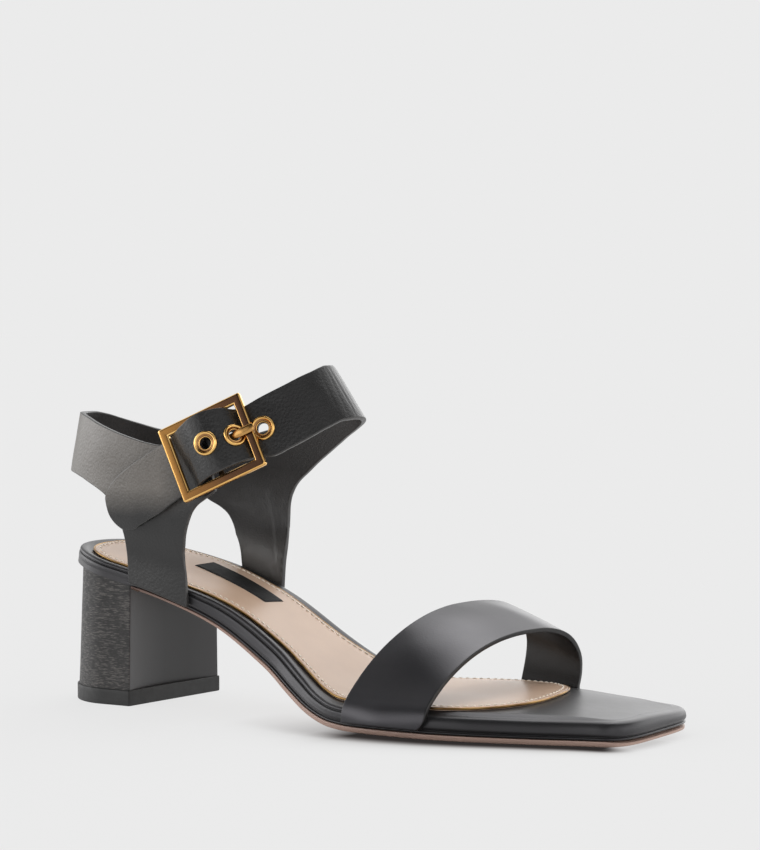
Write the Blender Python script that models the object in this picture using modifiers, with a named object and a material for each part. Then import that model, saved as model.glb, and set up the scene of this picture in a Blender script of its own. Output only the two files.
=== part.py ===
"""Heeled ankle-strap sandal, right foot: sole, heel, straps, buckle.

Working frame, in millimetres: x runs from the heel's back (0) to the toe,
-y is the outer side of the foot, z = 0 is the floor.  At the end everything
is moved so that the origin is at the middle of the footprint, on the floor.
"""
import math

import bmesh
import bpy
import numpy as np
from mathutils import Matrix, Vector

MM = 0.001
NAME = "heeled_sandal"
GAP = 0.3                      # clearance between neighbouring pieces

# ------------------------------------------------------------------ sizes
# Underside of the sole and its half-widths, one row per section.
#   x, under_z, outer_half, inner_half
SOLE_ROWS = [
    (-4.0, 54.4, 26.9, 28.4),
    (12.0, 51.4, 26.9, 28.4),
    (28.0, 47.6, 26.7, 28.4),
    (50.0, 42.2, 26.3, 27.5),
    (75.0, 33.0, 24.4, 24.0),
    (100.0, 18.6, 26.6, 22.6),
    (113.0, 10.3, 31.2, 24.4),
    (125.0, 3.9, 35.7, 27.4),
    (136.0, 0.8, 38.8, 31.0),
    (146.0, 0.0, 40.0, 33.8),
    (160.0, 0.0, 41.6, 37.6),
    (175.0, 0.0, 41.6, 40.3),
    (190.0, 0.0, 39.7, 41.3),
    (203.0, 0.0, 36.5, 39.8),
    (214.0, 0.0, 33.4, 36.7),
    (226.0, 0.2, 30.5, 33.3),
    (238.0, 0.5, 28.7, 30.8),
    (252.0, 0.9, 28.0, 29.8),
]
HEEL_END = (28.0, 0.8)         # x where the heel's rounding starts, and its back
TOE_END = (234.0, 249.4)       # x where the square toe's corners start, and its front
TOE_SLANT = -0.2               # the toe's front edge is this much askew
PLATFORM = 8.6                 # floor side to rim, forward of the seat
PLATFORM_SEAT = 6.9            # the same on the heel seat
PLATFORM_ARCH = 1.45           # and this much more under the arch
OUTSOLE_FRONT = 1.9            # outsole thickness under the ball
OUTSOLE_REAR = 1.0             # outsole thickness at the heel breast
BREAST_X = 40.8                # heel breast at mid-width
BREAST_SKEW = 2.0              # its inner corner lies this much further forward
HEEL_TOP = (4.2, 25.9, 26.1)   # back, outer and inner half-width under the seat
HEEL_FOOT = (1.6, 26.6, 26.6)  # the same at the top piece
LIFT_H = 6.0                   # rubber top piece
SOCK_TOE = (168.0, 205.5)
SOCK_INSET = (5.7, 4.6)         # sock's edge from the outline, rear and forefoot
SOCK_T = 0.9

# Footbed wall and rim: inset from the outline and level between underside and
# rim, each at the rear and at the forefoot, then extra height.
FOOTBED_PROFILE = [
    (3.4, 0.0, 3.4, 0.0, 0.0), (1.3, 0.0, 1.3, 0.0, 0.0), (0.2, 0.0, 0.2, 0.0, 1.2),
    (0.0, 0.5, 0.0, 0.45, 0.0), (0.04, 0.77, 0.2, 0.7, 0.0), (0.3, 0.925, 0.8, 0.89, 0.0),
    (1.0, 0.992, 1.9, 0.985, 0.0), (2.1, 1.0, 3.0, 1.0, 0.1), (3.7, 1.0, 4.3, 1.0, 0.6),
    (5.4, 1.0, 5.4, 1.0, 1.0),
]
# The inner side of the footbed stands higher: x, rim, extra of the top.
INNER_RISE = [
    (-4.0, 0.5, 0.7), (15.0, 0.8, 0.7), (40.0, 1.6, 0.7), (60.0, 1.5, 0.6),
    (78.0, 0.8, 0.4), (95.0, 0.35, 0.0), (120.0, 0.9, 0.0), (150.0, 1.2, 0.0),
    (175.0, 1.5, 0.0), (195.0, 1.3, 0.0), (212.0, 0.9, 0.0), (226.0, 0.4, 0.0),
    (238.0, -0.4, 0.0), (246.0, -1.0, 0.0), (252.0, -1.3, 0.0),
]
SEAT_DISH = -1.1               # the seat's middle lies below the rim
BALL_DISH = 0.8                # the padded forefoot stands above the rim
BALL_CROWN = 1.5               # and is crowned by this

STRAP_T = 2.0                  # leather of the ankle pieces
TOE_STRAP_T = 1.8

# The ankle's last: one row per height.
#   z, half_width
LAST_ROWS = [(36.0, 27.6), (52.0, 28.0), (65.0, 31.3), (80.0, 33.2),
             (95.0, 33.0), (110.0, 31.8), (134.0, 29.2)]
LAST_MID = (50.0, 0.5)         # axis of the ankle ring
LAST_BACK = (-2.5, 88.0, 4.5 / 22.0)     # back x at a height, lean
LAST_FRONT = (124.0, 110.6, -0.72)       # instep x at a height, slope

# Ankle upper, a band that runs from the outer leg round the back, past the
# inner leg and over the instep to its free tip.  Angle 0 is the front, 90 the
# inner side, 270 the outer side.  SOLE stands for an edge that reaches the sole.
SOLE = -1.0
#   angle, lower_z
BAND_LOWER = [
    (290.0, 83.9), (286.6, 80.7), (284.3, 78.4), (282.6, 75.6), (281.3, 72.2),
    (280.1, 68.4), (278.8, 63.0), (277.7, 57.0), (277.3, SOLE), (261.2, SOLE),
    (260.2, 60.0),
    (259.6, 66.0), (258.0, 72.0), (255.0, 77.0), (250.9, 80.6), (246.8, 82.5),
    (239.0, 84.9), (228.6, 87.2), (218.0, 88.3), (200.0, 88.8), (180.0, 88.9),
    (160.0, 88.8), (142.0, 88.2), (131.4, 87.0), (121.0, 84.2), (113.0, 80.2),
    (104.8, 75.4), (99.8, 73.1), (95.7, 70.5), (92.3, 66.6), (89.9, 62.0),
    (88.4, 56.0), (87.6, SOLE), (79.7, SOLE), (77.5, 57.3), (77.1, 68.0),
    (76.6, 74.7), (75.0, 80.2), (73.1, 83.5), (68.8, 87.9), (64.2, 92.0),
    (58.9, 95.7), (52.6, 99.4), (44.6, 103.1), (29.6, 107.3), (12.0, 110.0),
    (0.0, 110.6), (-11.6, 110.2), (-23.2, 107.8), (-34.1, 104.0),
    (-43.1, 100.2), (-50.8, 97.0), (-53.0, 96.8), (-55.0, 96.5), (-57.0, 95.8),
    (-58.4, 95.2), (-60.0, 94.4), (-62.0, 93.3), (-64.0, 92.1), (-66.0, 90.9),
    (-68.0, 89.5), (-70.0, 87.9), (-71.4, 86.6), (-72.5, 85.6), (-73.8, 84.6),
    (-75.0, 83.8), (-76.4, 82.9), (-77.8, 81.8), (-81.5, 78.4), (-84.2, 75.5),
    (-87.0, 73.1), (-89.8, 70.7), (-93.5, 68.7), (-97.5, 68.3), (-101.5, 70.2),
    (-104.2, 73.2), (-105.8, 77.2), (-106.4, 79.4),
]
#   angle, upper_z
BAND_UPPER = [
    (290.0, 101.0), (275.9, 100.0), (269.0, 101.3), (257.4, 103.7),
    (242.6, 106.8), (224.8, 109.9), (210.0, 111.0), (180.0, 110.9),
    (166.0, 109.7), (157.8, 108.3), (144.2, 105.7), (132.4, 103.3),
    (115.0, 100.6), (103.0, 99.8), (92.0, 100.4), (80.0, 103.6),
    (70.0, 107.8), (60.0, 112.6), (50.0, 117.2), (40.0, 121.4), (28.0, 125.6),
    (17.8, 127.9), (8.0, 129.3), (-2.3, 129.3), (-9.3, 128.6), (-17.8, 127.1),
    (-25.1, 125.5), (-37.1, 121.8), (-47.2, 118.0), (-50.0, 116.7),
    (-52.8, 115.3), (-55.0, 114.3), (-57.0, 113.6), (-58.4, 113.5), (-60.0, 113.8),
    (-61.5, 114.1), (-63.5, 113.8), (-66.0, 113.0), (-68.0, 112.1), (-69.5, 111.2),
    (-71.0, 110.1), (-72.5, 108.8), (-74.0, 107.4), (-76.0, 105.4), (-78.0, 103.4),
    (-80.0, 101.7), (-83.1, 99.7), (-86.2, 97.4), (-89.3, 94.7), (-93.8, 92.0),
    (-98.9, 88.8), (-102.6, 85.7), (-105.3, 82.6), (-106.4, 80.4),
]
#   angle, stand-off of the band from the last
BAND_LIFT = [
    (290.0, 0.0), (0.0, 0.0), (-20.0, 0.6), (-40.0, 1.3), (-46.0, 1.38),
    (-48.0, 1.35), (-50.0, 1.4), (-52.0, 1.34), (-54.0, 1.43), (-55.4, 1.9),
    (-56.6, 2.88), (-57.8, 4.57), (-59.0, 6.23), (-60.4, 7.53), (-62.0, 8.46),
    (-64.0, 9.25), (-66.4, 9.76), (-68.6, 9.82), (-70.6, 9.51), (-72.2, 8.77),
    (-73.6, 7.56), (-74.8, 6.1), (-76.0, 4.64), (-77.4, 3.81), (-79.0, 3.49),
    (-81.0, 3.19), (-84.0, 2.95), (-92.0, 2.6), (-106.4, 2.5),
]
BAND_TILT = 0.19               # the fold over the buckle leans by this, degrees per mm

# Toe strap, one row per fold from the outer side to the inner side.
#   rear_y, rear_z, front_y, front_z
TOE_STRAP_ROWS = [
    (-40.0, 10.2, -41.8, 10.0),
    (-36.6, 14.8, -38.6, 13.5),
    (-32.0, 20.0, -33.4, 17.8),
    (-26.5, 25.2, -26.8, 22.1),
    (-19.0, 30.8, -18.2, 26.4),
    (-10.0, 35.8, -8.2, 29.9),
    (0.0, 39.6, 2.0, 32.1),
    (10.0, 41.5, 12.0, 33.1),
    (20.0, 42.0, 22.0, 33.2),
    (29.0, 41.5, 30.5, 32.0),
    (37.5, 38.9, 37.6, 29.3),
    (43.2, 33.0, 42.2, 25.0),
    (45.6, 26.0, 44.6, 19.6),
    (44.4, 18.0, 44.4, 14.6),
]
TOE_REAR_X = (143.6, 172.0)    # x of the strap's rear edge, outer and inner end
TOE_FRONT_X = (178.6, 195.0)   # the same of its front edge

# Buckle
BUCKLE_AT = (83.2, -34.6, 99.9)    # middle of the frame
BUCKLE_TURN = 13.0             # its face is turned this far towards the toe
BUCKLE_LEAN = 11.0             # and leans back by this
BUCKLE_SLOPE = 25.6            # its long side rises to the front
BUCKLE_L, BUCKLE_W = 34.6, 29.4
BUCKLE_BAR, BUCKLE_T = 3.4, 2.4
BUCKLE_PIN_R = 1.1
PRONG_R = 0.85
TAB_T, TAB_W = 0.8, 17.0

EYELET_R, EYELET_HOLE = 4.1, 2.1
EYELET_ANGLES = [("eyelet_1", -66.5), ("eyelet_2", -59.0), ("eyelet_3", -49.9)]

COLOURS = {                    # colour, roughness, metallic
    "outsole": ((0.42, 0.25, 0.17), 0.55, 0.0),
    "footbed": ((0.018, 0.017, 0.017), 0.42, 0.0),
    "insole_sock": ((0.52, 0.39, 0.31), 0.5, 0.0),
    "heel_block": ((0.028, 0.022, 0.019), 0.45, 0.0),
    "heel_lift": ((0.012, 0.012, 0.012), 0.6, 0.0),
    "toe_strap": ((0.018, 0.017, 0.017), 0.42, 0.0),
    "ankle_upper": ((0.02, 0.019, 0.019), 0.4, 0.0),
    "buckle_tab": ((0.02, 0.019, 0.019), 0.5, 0.0),
    "buckle_frame": ((0.62, 0.42, 0.18), 0.3, 1.0),
    "buckle_prong": ((0.66, 0.46, 0.2), 0.28, 1.0),
    "eyelet_1": ((0.7, 0.5, 0.22), 0.28, 1.0),
    "eyelet_2": ((0.7, 0.5, 0.22), 0.28, 1.0),
    "eyelet_3": ((0.7, 0.5, 0.22), 0.28, 1.0),
}


# ------------------------------------------------------------------ helpers
def smooth_table(rows, column=1):
    """Shape-keeping cubic through a table's first and given column."""
    pts = sorted((r[0], r[column]) for r in rows)
    x = np.array([p[0] for p in pts], float)
    y = np.array([p[1] for p in pts], float)
    h = np.diff(x)
    d = np.diff(y) / h
    m = np.zeros(len(x))
    for i in range(1, len(x) - 1):
        if d[i - 1] * d[i] > 0:
            w1, w2 = 2 * h[i] + h[i - 1], h[i] + 2 * h[i - 1]
            m[i] = (w1 + w2) / (w1 / d[i - 1] + w2 / d[i])
    m[0], m[-1] = d[0], d[-1]

    def value(q):
        q = min(max(q, x[0]), x[-1])
        i = min(int(np.searchsorted(x, q, side="right")) - 1, len(h) - 1)
        t = (q - x[i]) / h[i]
        return float((2 * t**3 - 3 * t**2 + 1) * y[i]
                     + (t**3 - 2 * t**2 + t) * h[i] * m[i]
                     + (3 * t**2 - 2 * t**3) * y[i + 1]
                     + (t**3 - t**2) * h[i] * m[i + 1])
    return value


def step(a, b, x):
    t = min(max((x - a) / (b - a), 0.0), 1.0)
    return t * t * (3 - 2 * t)


def lerp(a, b, t):
    return a + (b - a) * t


under_z = smooth_table(SOLE_ROWS, 1)
outer_half = smooth_table(SOLE_ROWS, 2)
inner_half = smooth_table(SOLE_ROWS, 3)
last_half = smooth_table(LAST_ROWS)
rim_rise = smooth_table(INNER_RISE, 1)
top_rise = smooth_table(INNER_RISE, 2)


def sole_normal(x):
    slope = (under_z(x + 0.5) - under_z(x - 0.5))
    n = math.hypot(slope, 1.0)
    return -slope / n, 1.0 / n


def outsole_t(x):
    return lerp(OUTSOLE_REAR, OUTSOLE_FRONT, step(60, 135, x))


def footbed_base(x):
    """Height of the footbed's underside above the sole line."""
    return outsole_t(x) + GAP


def rim_height(x, y=-30.0):
    arch = PLATFORM_ARCH * step(45, 98, x) * (1 - step(108, 142, x))
    return lerp(PLATFORM_SEAT, PLATFORM, step(25, 95, x)) + arch + rim_rise(x) * step(-8, 24, y)


def dish(x):
    return lerp(SEAT_DISH, BALL_DISH, step(85, 150, x)) * (1 - 0.75 * step(226, 247, x))


def top_height(x, y):
    """Height of the footbed's top above the sole line, inside its rim."""
    half = (outer_half(x) if y < 0 else inner_half(x)) - 5.4
    v = min(abs(y) / half, 1.0)
    crown = BALL_CROWN * step(95, 155, x) * (1 - step(208, 246, x))
    return rim_height(x, y) + dish(x) + crown * (1 - v ** 2.4) + top_rise(x) * step(-8, 24, y)


def stations(heel, toe, n_heel, n_mid, n_toe, toe_power):
    """(x, width factor) from the heel's back to the toe's front."""
    out = []
    if heel:
        for k in range(n_heel):
            a = math.radians(lerp(3.0, 90.0, k / n_heel))
            out.append((heel[0] - (heel[0] - heel[1]) * math.cos(a), math.sin(a)))
        start = heel[0]
    else:
        start = BREAST_X + GAP
    for k in range(n_mid):
        out.append((lerp(start, toe[0], k / n_mid), 1.0))
    for k in range(n_toe):
        a = math.radians(lerp(0.0, 87.5, k / (n_toe - 1)))
        out.append((toe[0] + (toe[1] - toe[0]) * math.sin(a) ** (2 / toe_power),
                    math.cos(a) ** (2 / toe_power)))
    return out


def plan(stops, inset=0.0, fore=None):
    """Closed plan outline: outer side heel to toe, inner side toe to heel."""
    fore = inset if fore is None else fore
    near = [(x, -outer_half(x) * f) for x, f in stops]
    far = [(x, inner_half(x) * f) for x, f in stops]
    ring = near + far[::-1]

    def slanted(p):
        x, y = p
        x -= TOE_SLANT * (y / 29.0) * step(195, 247, x)
        if x < 70:
            x += BREAST_SKEW * (y / 26.5) * step(8, BREAST_X, x) * (1 - step(50, 70, x))
        return x, y
    ring = [slanted(p) for p in ring]
    n = len(ring)
    out = []
    for i in range(n):
        (ax, ay), (bx, by) = ring[i - 1], ring[(i + 1) % n]
        tx, ty = bx - ax, by - ay
        k = lerp(inset, fore, step(110, 180, ring[i][0])) / (math.hypot(tx, ty) or 1.0)
        out.append((ring[i][0] - ty * k, ring[i][1] + tx * k))
    return out


def new_object(name, mesh):
    ob = bpy.data.objects.new(name, mesh)
    parts.objects.link(ob)
    return ob


def mesh_from(name, verts, faces):
    me = bpy.data.meshes.new(name)
    me.from_pydata([tuple(c * MM for c in v) for v in verts], [], faces)
    me.validate()
    bm = bmesh.new()
    bm.from_mesh(me)
    bmesh.ops.recalc_face_normals(bm, faces=bm.faces)
    if bm.calc_volume(signed=True) < 0:
        bmesh.ops.reverse_faces(bm, faces=bm.faces)
    bm.to_mesh(me)
    bm.free()
    return me


def rungs(start, n, verts, flip, across, lift):
    """Close a ring by rungs between its two sides; lift shapes the inner cells."""
    half = n // 2
    grid = []
    for i in range(half):
        a, b = start + i, start + n - 1 - i
        row = [a]
        if 0 < i < half - 1:
            for k in range(1, across):
                p = tuple(lerp(verts[a][c], verts[b][c], k / across) for c in range(3))
                row.append(len(verts))
                verts.append(lift(p))
        grid.append(row + [b])
    faces = []
    for r, q in zip(grid, grid[1:]):
        if len(r) == len(q):
            for k in range(len(r) - 1):
                faces.append([r[k], q[k], q[k + 1], r[k + 1]])
        elif len(r) == 2:
            faces += [[r[0], q[k], q[k + 1]] for k in range(len(q) - 1)]
            faces.append([r[0], q[-1], r[1]])
        else:
            faces += [[r[k], q[0], r[k + 1]] for k in range(len(r) - 1)]
            faces.append([r[-1], q[0], q[1]])
    return [f[::-1] for f in faces] if flip else faces


def slab(name, rings, across=1, lift=None):
    """Loft through equal rings, closed by rungs below and above."""
    verts, faces = [], []
    n = len(rings[0])
    for r in rings:
        verts.extend(r)
    for k in range(len(rings) - 1):
        for i in range(n):
            j = (i + 1) % n
            faces.append([k * n + i, k * n + j, (k + 1) * n + j, (k + 1) * n + i])
    faces += rungs(0, n, verts, False, across, lift[0] if lift else None)
    faces += rungs((len(rings) - 1) * n, n, verts, True, across, lift[1] if lift else None)
    return new_object(name, mesh_from(name, verts, faces))


def station_of(p):
    """Sole station under a point, found along the sole's normal."""
    x = p[0]
    for _ in range(6):
        nx, nz = sole_normal(x)
        h = (p[2] - under_z(x)) * nz - (x - p[0]) * nx
        x = p[0] - h * nx
    return x


def lifted(extra):
    """Put a point on the footbed's top surface plus a height."""
    def move(p):
        x = station_of(p)
        return on_sole((x, p[1]), top_height(x, p[1]) + extra)
    return move


def flat(p):
    return p


def on_sole(p, h):
    nx, nz = sole_normal(p[0])
    return p[0] + h * nx, p[1], under_z(p[0]) + h * nz


# ------------------------------------------------------------------ sole
def make_outsole():
    stops = stations(None, (TOE_END[0], TOE_END[1] - 0.4), 0, 26, 8, 4.0)
    rings = []
    for inset, level in ((4.0, 0.0), (1.6, 0.0), (0.5, 0.45), (0.3, 1.0)):
        rings.append([on_sole(p, level * outsole_t(p[0])) for p in plan(stops, inset)])
    return slab("outsole", rings)


def make_footbed():
    stops = stations(HEEL_END, TOE_END, 8, 26, 9, 4.0)
    rings = []
    for inset, low, fore, high, extra in FOOTBED_PROFILE:
        ring = []
        for p in plan(stops, inset, fore):
            level = lerp(low, high, step(110, 180, p[0]))
            h = lerp(footbed_base(p[0]), rim_height(*p), level)
            if level < 1:
                h += extra
            elif extra:
                h = lerp(h, top_height(*p), extra)
            ring.append(on_sole(p, h))
        rings.append(ring)
    return slab("footbed", rings, 6, (flat, lifted(0.0)))


def make_sock():
    heel = (HEEL_END[0], HEEL_END[1] + SOCK_INSET[0])
    stops = stations(heel, SOCK_TOE, 7, 20, 8, 2.8)
    inset = lambda x: lerp(*SOCK_INSET, step(120, 170, x))
    near = [(x, -(outer_half(x) - inset(x)) * f) for x, f in stops]
    far = [(x, (inner_half(x) - inset(x)) * f) for x, f in stops]
    outline = near + far[::-1]
    rings = []
    for h in (GAP, GAP + SOCK_T):
        rings.append([on_sole(p, top_height(*p) + h) for p in outline])
    return slab("insole_sock", rings, 6, (lifted(GAP), lifted(GAP + SOCK_T)))


def heel_plan(level, proud=0.0):
    """D outline of the heel, round back and straight breast, foot 0 to top 1."""
    back, near_w, far_w = (lerp(f, t, level) for f, t in zip(HEEL_FOOT, HEEL_TOP))
    out = []
    start = 27.0
    for k in range(9):
        a = math.radians(lerp(4.0, 90.0, k / 9))
        out.append((start - (start - back + proud) * math.cos(a), math.sin(a)))
    for k in range(4):
        out.append((lerp(start, BREAST_X + proud * 0.5, k / 3), 1.0))
    ring = [(x, -(near_w + proud) * f) for x, f in out]
    ring += [(x, (far_w + proud) * f) for x, f in out[::-1]]
    return [(x + BREAST_SKEW * (y / 26.0) * step(8, BREAST_X, x), y) for x, y in ring]


def make_heel():
    rings = []
    levels = 6
    for k in range(levels + 1):
        t = k / levels
        rings.append([(x, y, lerp(LIFT_H + GAP, under_z(x) + OUTSOLE_REAR, t))
                      for x, y in heel_plan(t)])
    return slab("heel_block", rings)


def make_lift():
    rings = []
    for proud, z in ((-0.2, 0.0), (0.7, 0.7), (0.7, LIFT_H)):
        rings.append([(x, y, z) for x, y in heel_plan(0.0, proud)])
    return slab("heel_lift", rings)


# ------------------------------------------------------------------ straps
def shell(name, grid, thickness):
    """Leather sheet of even thickness round a grid of mid-surface points."""
    g = np.array(grid, float)
    ni, nj = g.shape[:2]
    du = np.gradient(g, axis=0)
    dv = np.gradient(g, axis=1)
    nrm = np.cross(du, dv)
    nrm /= np.linalg.norm(nrm, axis=2, keepdims=True)
    half = thickness / 2
    verts = [tuple(p) for p in (g + half * nrm).reshape(-1, 3)]
    verts += [tuple(p) for p in (g - half * nrm).reshape(-1, 3)]
    off = ni * nj
    idx = lambda i, j, s: s * off + i * nj + j
    faces = []
    for i in range(ni - 1):
        for j in range(nj - 1):
            faces.append([idx(i, j, 0), idx(i + 1, j, 0), idx(i + 1, j + 1, 0), idx(i, j + 1, 0)])
            faces.append([idx(i, j, 1), idx(i, j + 1, 1), idx(i + 1, j + 1, 1), idx(i + 1, j, 1)])
    rim = ([(i, 0) for i in range(ni)] + [(ni - 1, j) for j in range(1, nj)]
           + [(i, nj - 1) for i in range(ni - 2, -1, -1)] + [(0, j) for j in range(nj - 2, 0, -1)])
    for k in range(len(rim)):
        a, b = rim[k], rim[(k + 1) % len(rim)]
        faces.append([idx(*a, 0), idx(*a, 1), idx(*b, 1), idx(*b, 0)])
    return new_object(name, mesh_from(name, verts, faces))


def wall_y(x, side, clear):
    """y of a sheet's middle against the footbed's wall."""
    if side < 0:
        return -(max(outer_half(x), outer_half(x - 2.8)) + clear)
    return max(inner_half(x), inner_half(x - 2.8)) + clear


def wall_foot(x):
    """Height of the seam between outsole and footbed."""
    return under_z(x) + outsole_t(x) + 1.7


def wall_rim(x):
    nx, nz = sole_normal(x)
    return under_z(x) + rim_height(x) * nz


def last_point(angle, z, lift=0.0):
    t = math.radians(angle)
    c, s = math.cos(t), math.sin(t)
    if c >= 0:
        a = LAST_FRONT[0] + LAST_FRONT[2] * (z - LAST_FRONT[1]) - LAST_MID[0]
    else:
        a = LAST_MID[0] - (LAST_BACK[0] + LAST_BACK[2] * (z - LAST_BACK[1]))
    b = last_half(z)
    nx, ny = c / a, s / b
    k = math.hypot(nx, ny)
    return (LAST_MID[0] + a * c + lift * nx / k, LAST_MID[1] + b * s + lift * ny / k, z)


def upper_point(angle, z, lift):
    """Last surface, drawn in to the footbed's wall low down."""
    x, y, _ = last_point(angle, z, lift)
    side = -1 if y < 0 else 1
    w = step(wall_rim(x) - 1.0, wall_rim(x) + 24.0, z)
    if w < 1 and 36 < x < 80:
        y = lerp(wall_y(x, side, GAP + STRAP_T / 2 + 0.15), y, w)
    return x, y, z


def foot_of(angle):
    """Height at which an upright line of the band meets the sole's seam."""
    z = 45.0
    for _ in range(12):
        x = last_point(angle, z)[0]
        z = wall_foot(x)
    return z


def band_angles():
    fixed = sorted({r[0] for r in BAND_LOWER} | {-59.2, -79.3}, reverse=True)
    out = []
    for a, b in zip(fixed, fixed[1:]):
        n = max(1, int(math.ceil((a - b) / 5.2)))
        out += [lerp(a, b, k / n) for k in range(n)]
    return out + [fixed[-1]]


LOWER_SOLID = [(a, foot_of(a) if z == SOLE else z) for a, z in BAND_LOWER]
band_lower = smooth_table(LOWER_SOLID)
band_upper = smooth_table(BAND_UPPER)
band_lift = smooth_table(BAND_LIFT)
ON_SOLE = [(BAND_LOWER[i][0], BAND_LOWER[i + 1][0]) for i in range(len(BAND_LOWER) - 1)
           if BAND_LOWER[i][1] == SOLE and BAND_LOWER[i + 1][1] == SOLE]


def lower_edge(angle):
    for a, b in ON_SOLE:
        if b <= angle <= a:
            return foot_of(angle)
    return band_lower(angle)


def band_point(angle, t):
    low, high = lower_edge(angle), band_upper(angle)
    tilt = BAND_TILT * step(-42, -50, angle)
    return upper_point(angle, lerp(low, high, t), band_lift(angle + tilt * (t - 0.5) * (high - low)))


def band_frame(angle, t=0.5):
    """Middle of the band at an angle, its run, its width and outward direction."""
    p = Vector(band_point(angle, t))
    run = (Vector(band_point(angle + 0.6, t)) - Vector(band_point(angle - 0.6, t))).normalized()
    up = (Vector(band_point(angle, t + 0.08)) - Vector(band_point(angle, t - 0.08))).normalized()
    out = up.cross(run).normalized()
    centre = Vector((LAST_MID[0], LAST_MID[1], p.z))
    if out.dot(p - centre) < 0:
        out = -out
    run = (run - out * run.dot(out)).normalized()
    return p, run, out.cross(run).normalized(), out


def make_upper():
    cells = 8
    grid = [[band_point(a, k / cells) for k in range(cells + 1)] for a in band_angles()]
    return shell("ankle_upper", grid, STRAP_T)


def make_toe_strap():
    rows = []
    clear = GAP + TOE_STRAP_T / 2 + 0.1
    rear_x = lambda y: lerp(*TOE_REAR_X, (y + 42.0) / 86.0)
    front_x = lambda y: lerp(*TOE_FRONT_X, max(0.0, (y + 43.0) / 87.0) ** 1.15)
    first, last = TOE_STRAP_ROWS[0], TOE_STRAP_ROWS[-1]
    for t in (0.0, 0.5, 1.0):
        xr, xf = TOE_REAR_X[0], TOE_FRONT_X[0] - 3.0 * (1 - t)
        zr = lerp(wall_foot(xr), first[1] - 4.2, t)
        zf = lerp(wall_foot(xf), first[3] - 4.2, t)
        rows.append((xr, wall_y(xr, -1, clear), zr, xf, wall_y(xf, -1, clear), zf))
    for ry, rz, fy, fz in TOE_STRAP_ROWS:
        rows.append((rear_x(ry), ry, rz, front_x(fy), fy, fz))
    for t in (1.0, 0.5, 0.0):
        xr, xf = TOE_REAR_X[1], TOE_FRONT_X[1]
        zr = lerp(wall_foot(xr), 9.6, t)
        zf = lerp(wall_foot(xf), 9.6, t)
        rows.append((xr, wall_y(xr, 1, clear), zr, xf, wall_y(xf, 1, clear), zf))
    run = [0.0]
    for a, b in zip(rows, rows[1:]):
        run.append(run[-1] + math.dist(a, b))
    curves = [smooth_table([(s, r[c]) for s, r in zip(run, rows)]) for c in range(6)]
    grid = []
    n, cells = 46, 7
    for i in range(n + 1):
        s = run[-1] * i / n
        xr, yr, zr, xf, yf, zf = (c(s) for c in curves)
        row = []
        for k in range(cells + 1):
            t = k / cells
            x, y, z = lerp(xr, xf, t), lerp(yr, yf, t), lerp(zr, zf, t)
            if y < 0:
                y = lerp(wall_y(x, -1, clear), y, step(6.5, 12.5, z))
            elif z < 10.5:
                y = wall_y(x, 1, clear)
            row.append((x, y, z + 1.2 * math.sin(math.pi * t) * step(14, 30, z)))
        grid.append(row)
    return shell("toe_strap", grid, TOE_STRAP_T)


# ------------------------------------------------------------------ metal
def buckle_matrix():
    turn, lean, slope = (math.radians(v) for v in (BUCKLE_TURN, BUCKLE_LEAN, BUCKLE_SLOPE))
    n = Vector((math.sin(turn) * math.cos(lean), -math.cos(turn) * math.cos(lean), math.sin(lean)))
    level = Vector((0, 0, 1)).cross(n).normalized()
    rise = n.cross(level)
    run = level * math.cos(slope) + rise * math.sin(slope)
    across = n.cross(run)
    m = Matrix.Identity(4)
    for r in range(3):
        m[r][0], m[r][1], m[r][2] = run[r], across[r], n[r]
        m[r][3] = BUCKLE_AT[r] * MM
    return m


def box(name, size, matrix, group):
    bpy.ops.mesh.primitive_cube_add(size=1.0)
    ob = bpy.context.object
    for c in list(ob.users_collection):
        c.objects.unlink(ob)
    group.objects.link(ob)
    ob.name = name
    ob.data.transform(Matrix.Diagonal((size[0] * MM, size[1] * MM, size[2] * MM, 1.0)))
    ob.data.transform(matrix)
    return ob


def rod(name, radius, start, end, group, sides=16):
    a, b = Vector(start), Vector(end)
    bpy.ops.mesh.primitive_cylinder_add(vertices=sides, radius=radius * MM, depth=(b - a).length * MM)
    ob = bpy.context.object
    for c in list(ob.users_collection):
        c.objects.unlink(ob)
    group.objects.link(ob)
    ob.name = name
    turn = (b - a).to_track_quat("Z", "Y").to_matrix().to_4x4()
    ob.data.transform(Matrix.Translation((a + b) / 2 * MM) @ turn)
    return ob


def combine(ob, other, how):
    mod = ob.modifiers.new(how.lower(), "BOOLEAN")
    mod.operation = how
    mod.solver = "EXACT"
    mod.object = other
    bake(ob)


def bake(ob):
    bpy.context.view_layer.update()
    deps = bpy.context.evaluated_depsgraph_get()
    me = bpy.data.meshes.new_from_object(ob.evaluated_get(deps))
    ob.modifiers.clear()
    old = ob.data
    ob.data = me
    bpy.data.meshes.remove(old)
    me.name = ob.name


def make_buckle():
    m = buckle_matrix()
    frame = box("buckle_frame", (BUCKLE_L, BUCKLE_W, BUCKLE_T), m, parts)
    hole = box("cut_buckle_window", (BUCKLE_L - 2 * BUCKLE_BAR, BUCKLE_W - 2 * BUCKLE_BAR, 3 * BUCKLE_T), m, cutters)
    combine(frame, hole, "DIFFERENCE")
    bev = frame.modifiers.new("edges", "BEVEL")
    bev.width = 0.7 * MM
    bev.segments = 2
    bev.limit_method = "ANGLE"
    bake(frame)
    half = (BUCKLE_W - BUCKLE_BAR) / 2
    inv = lambda v: tuple(c / MM for c in (m @ Vector(tuple(k * MM for k in v))))
    pin = rod("join_buckle_pin", BUCKLE_PIN_R, inv((0, -half, 0)), inv((0, half, 0)), cutters)
    combine(frame, pin, "UNION")
    return frame


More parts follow.
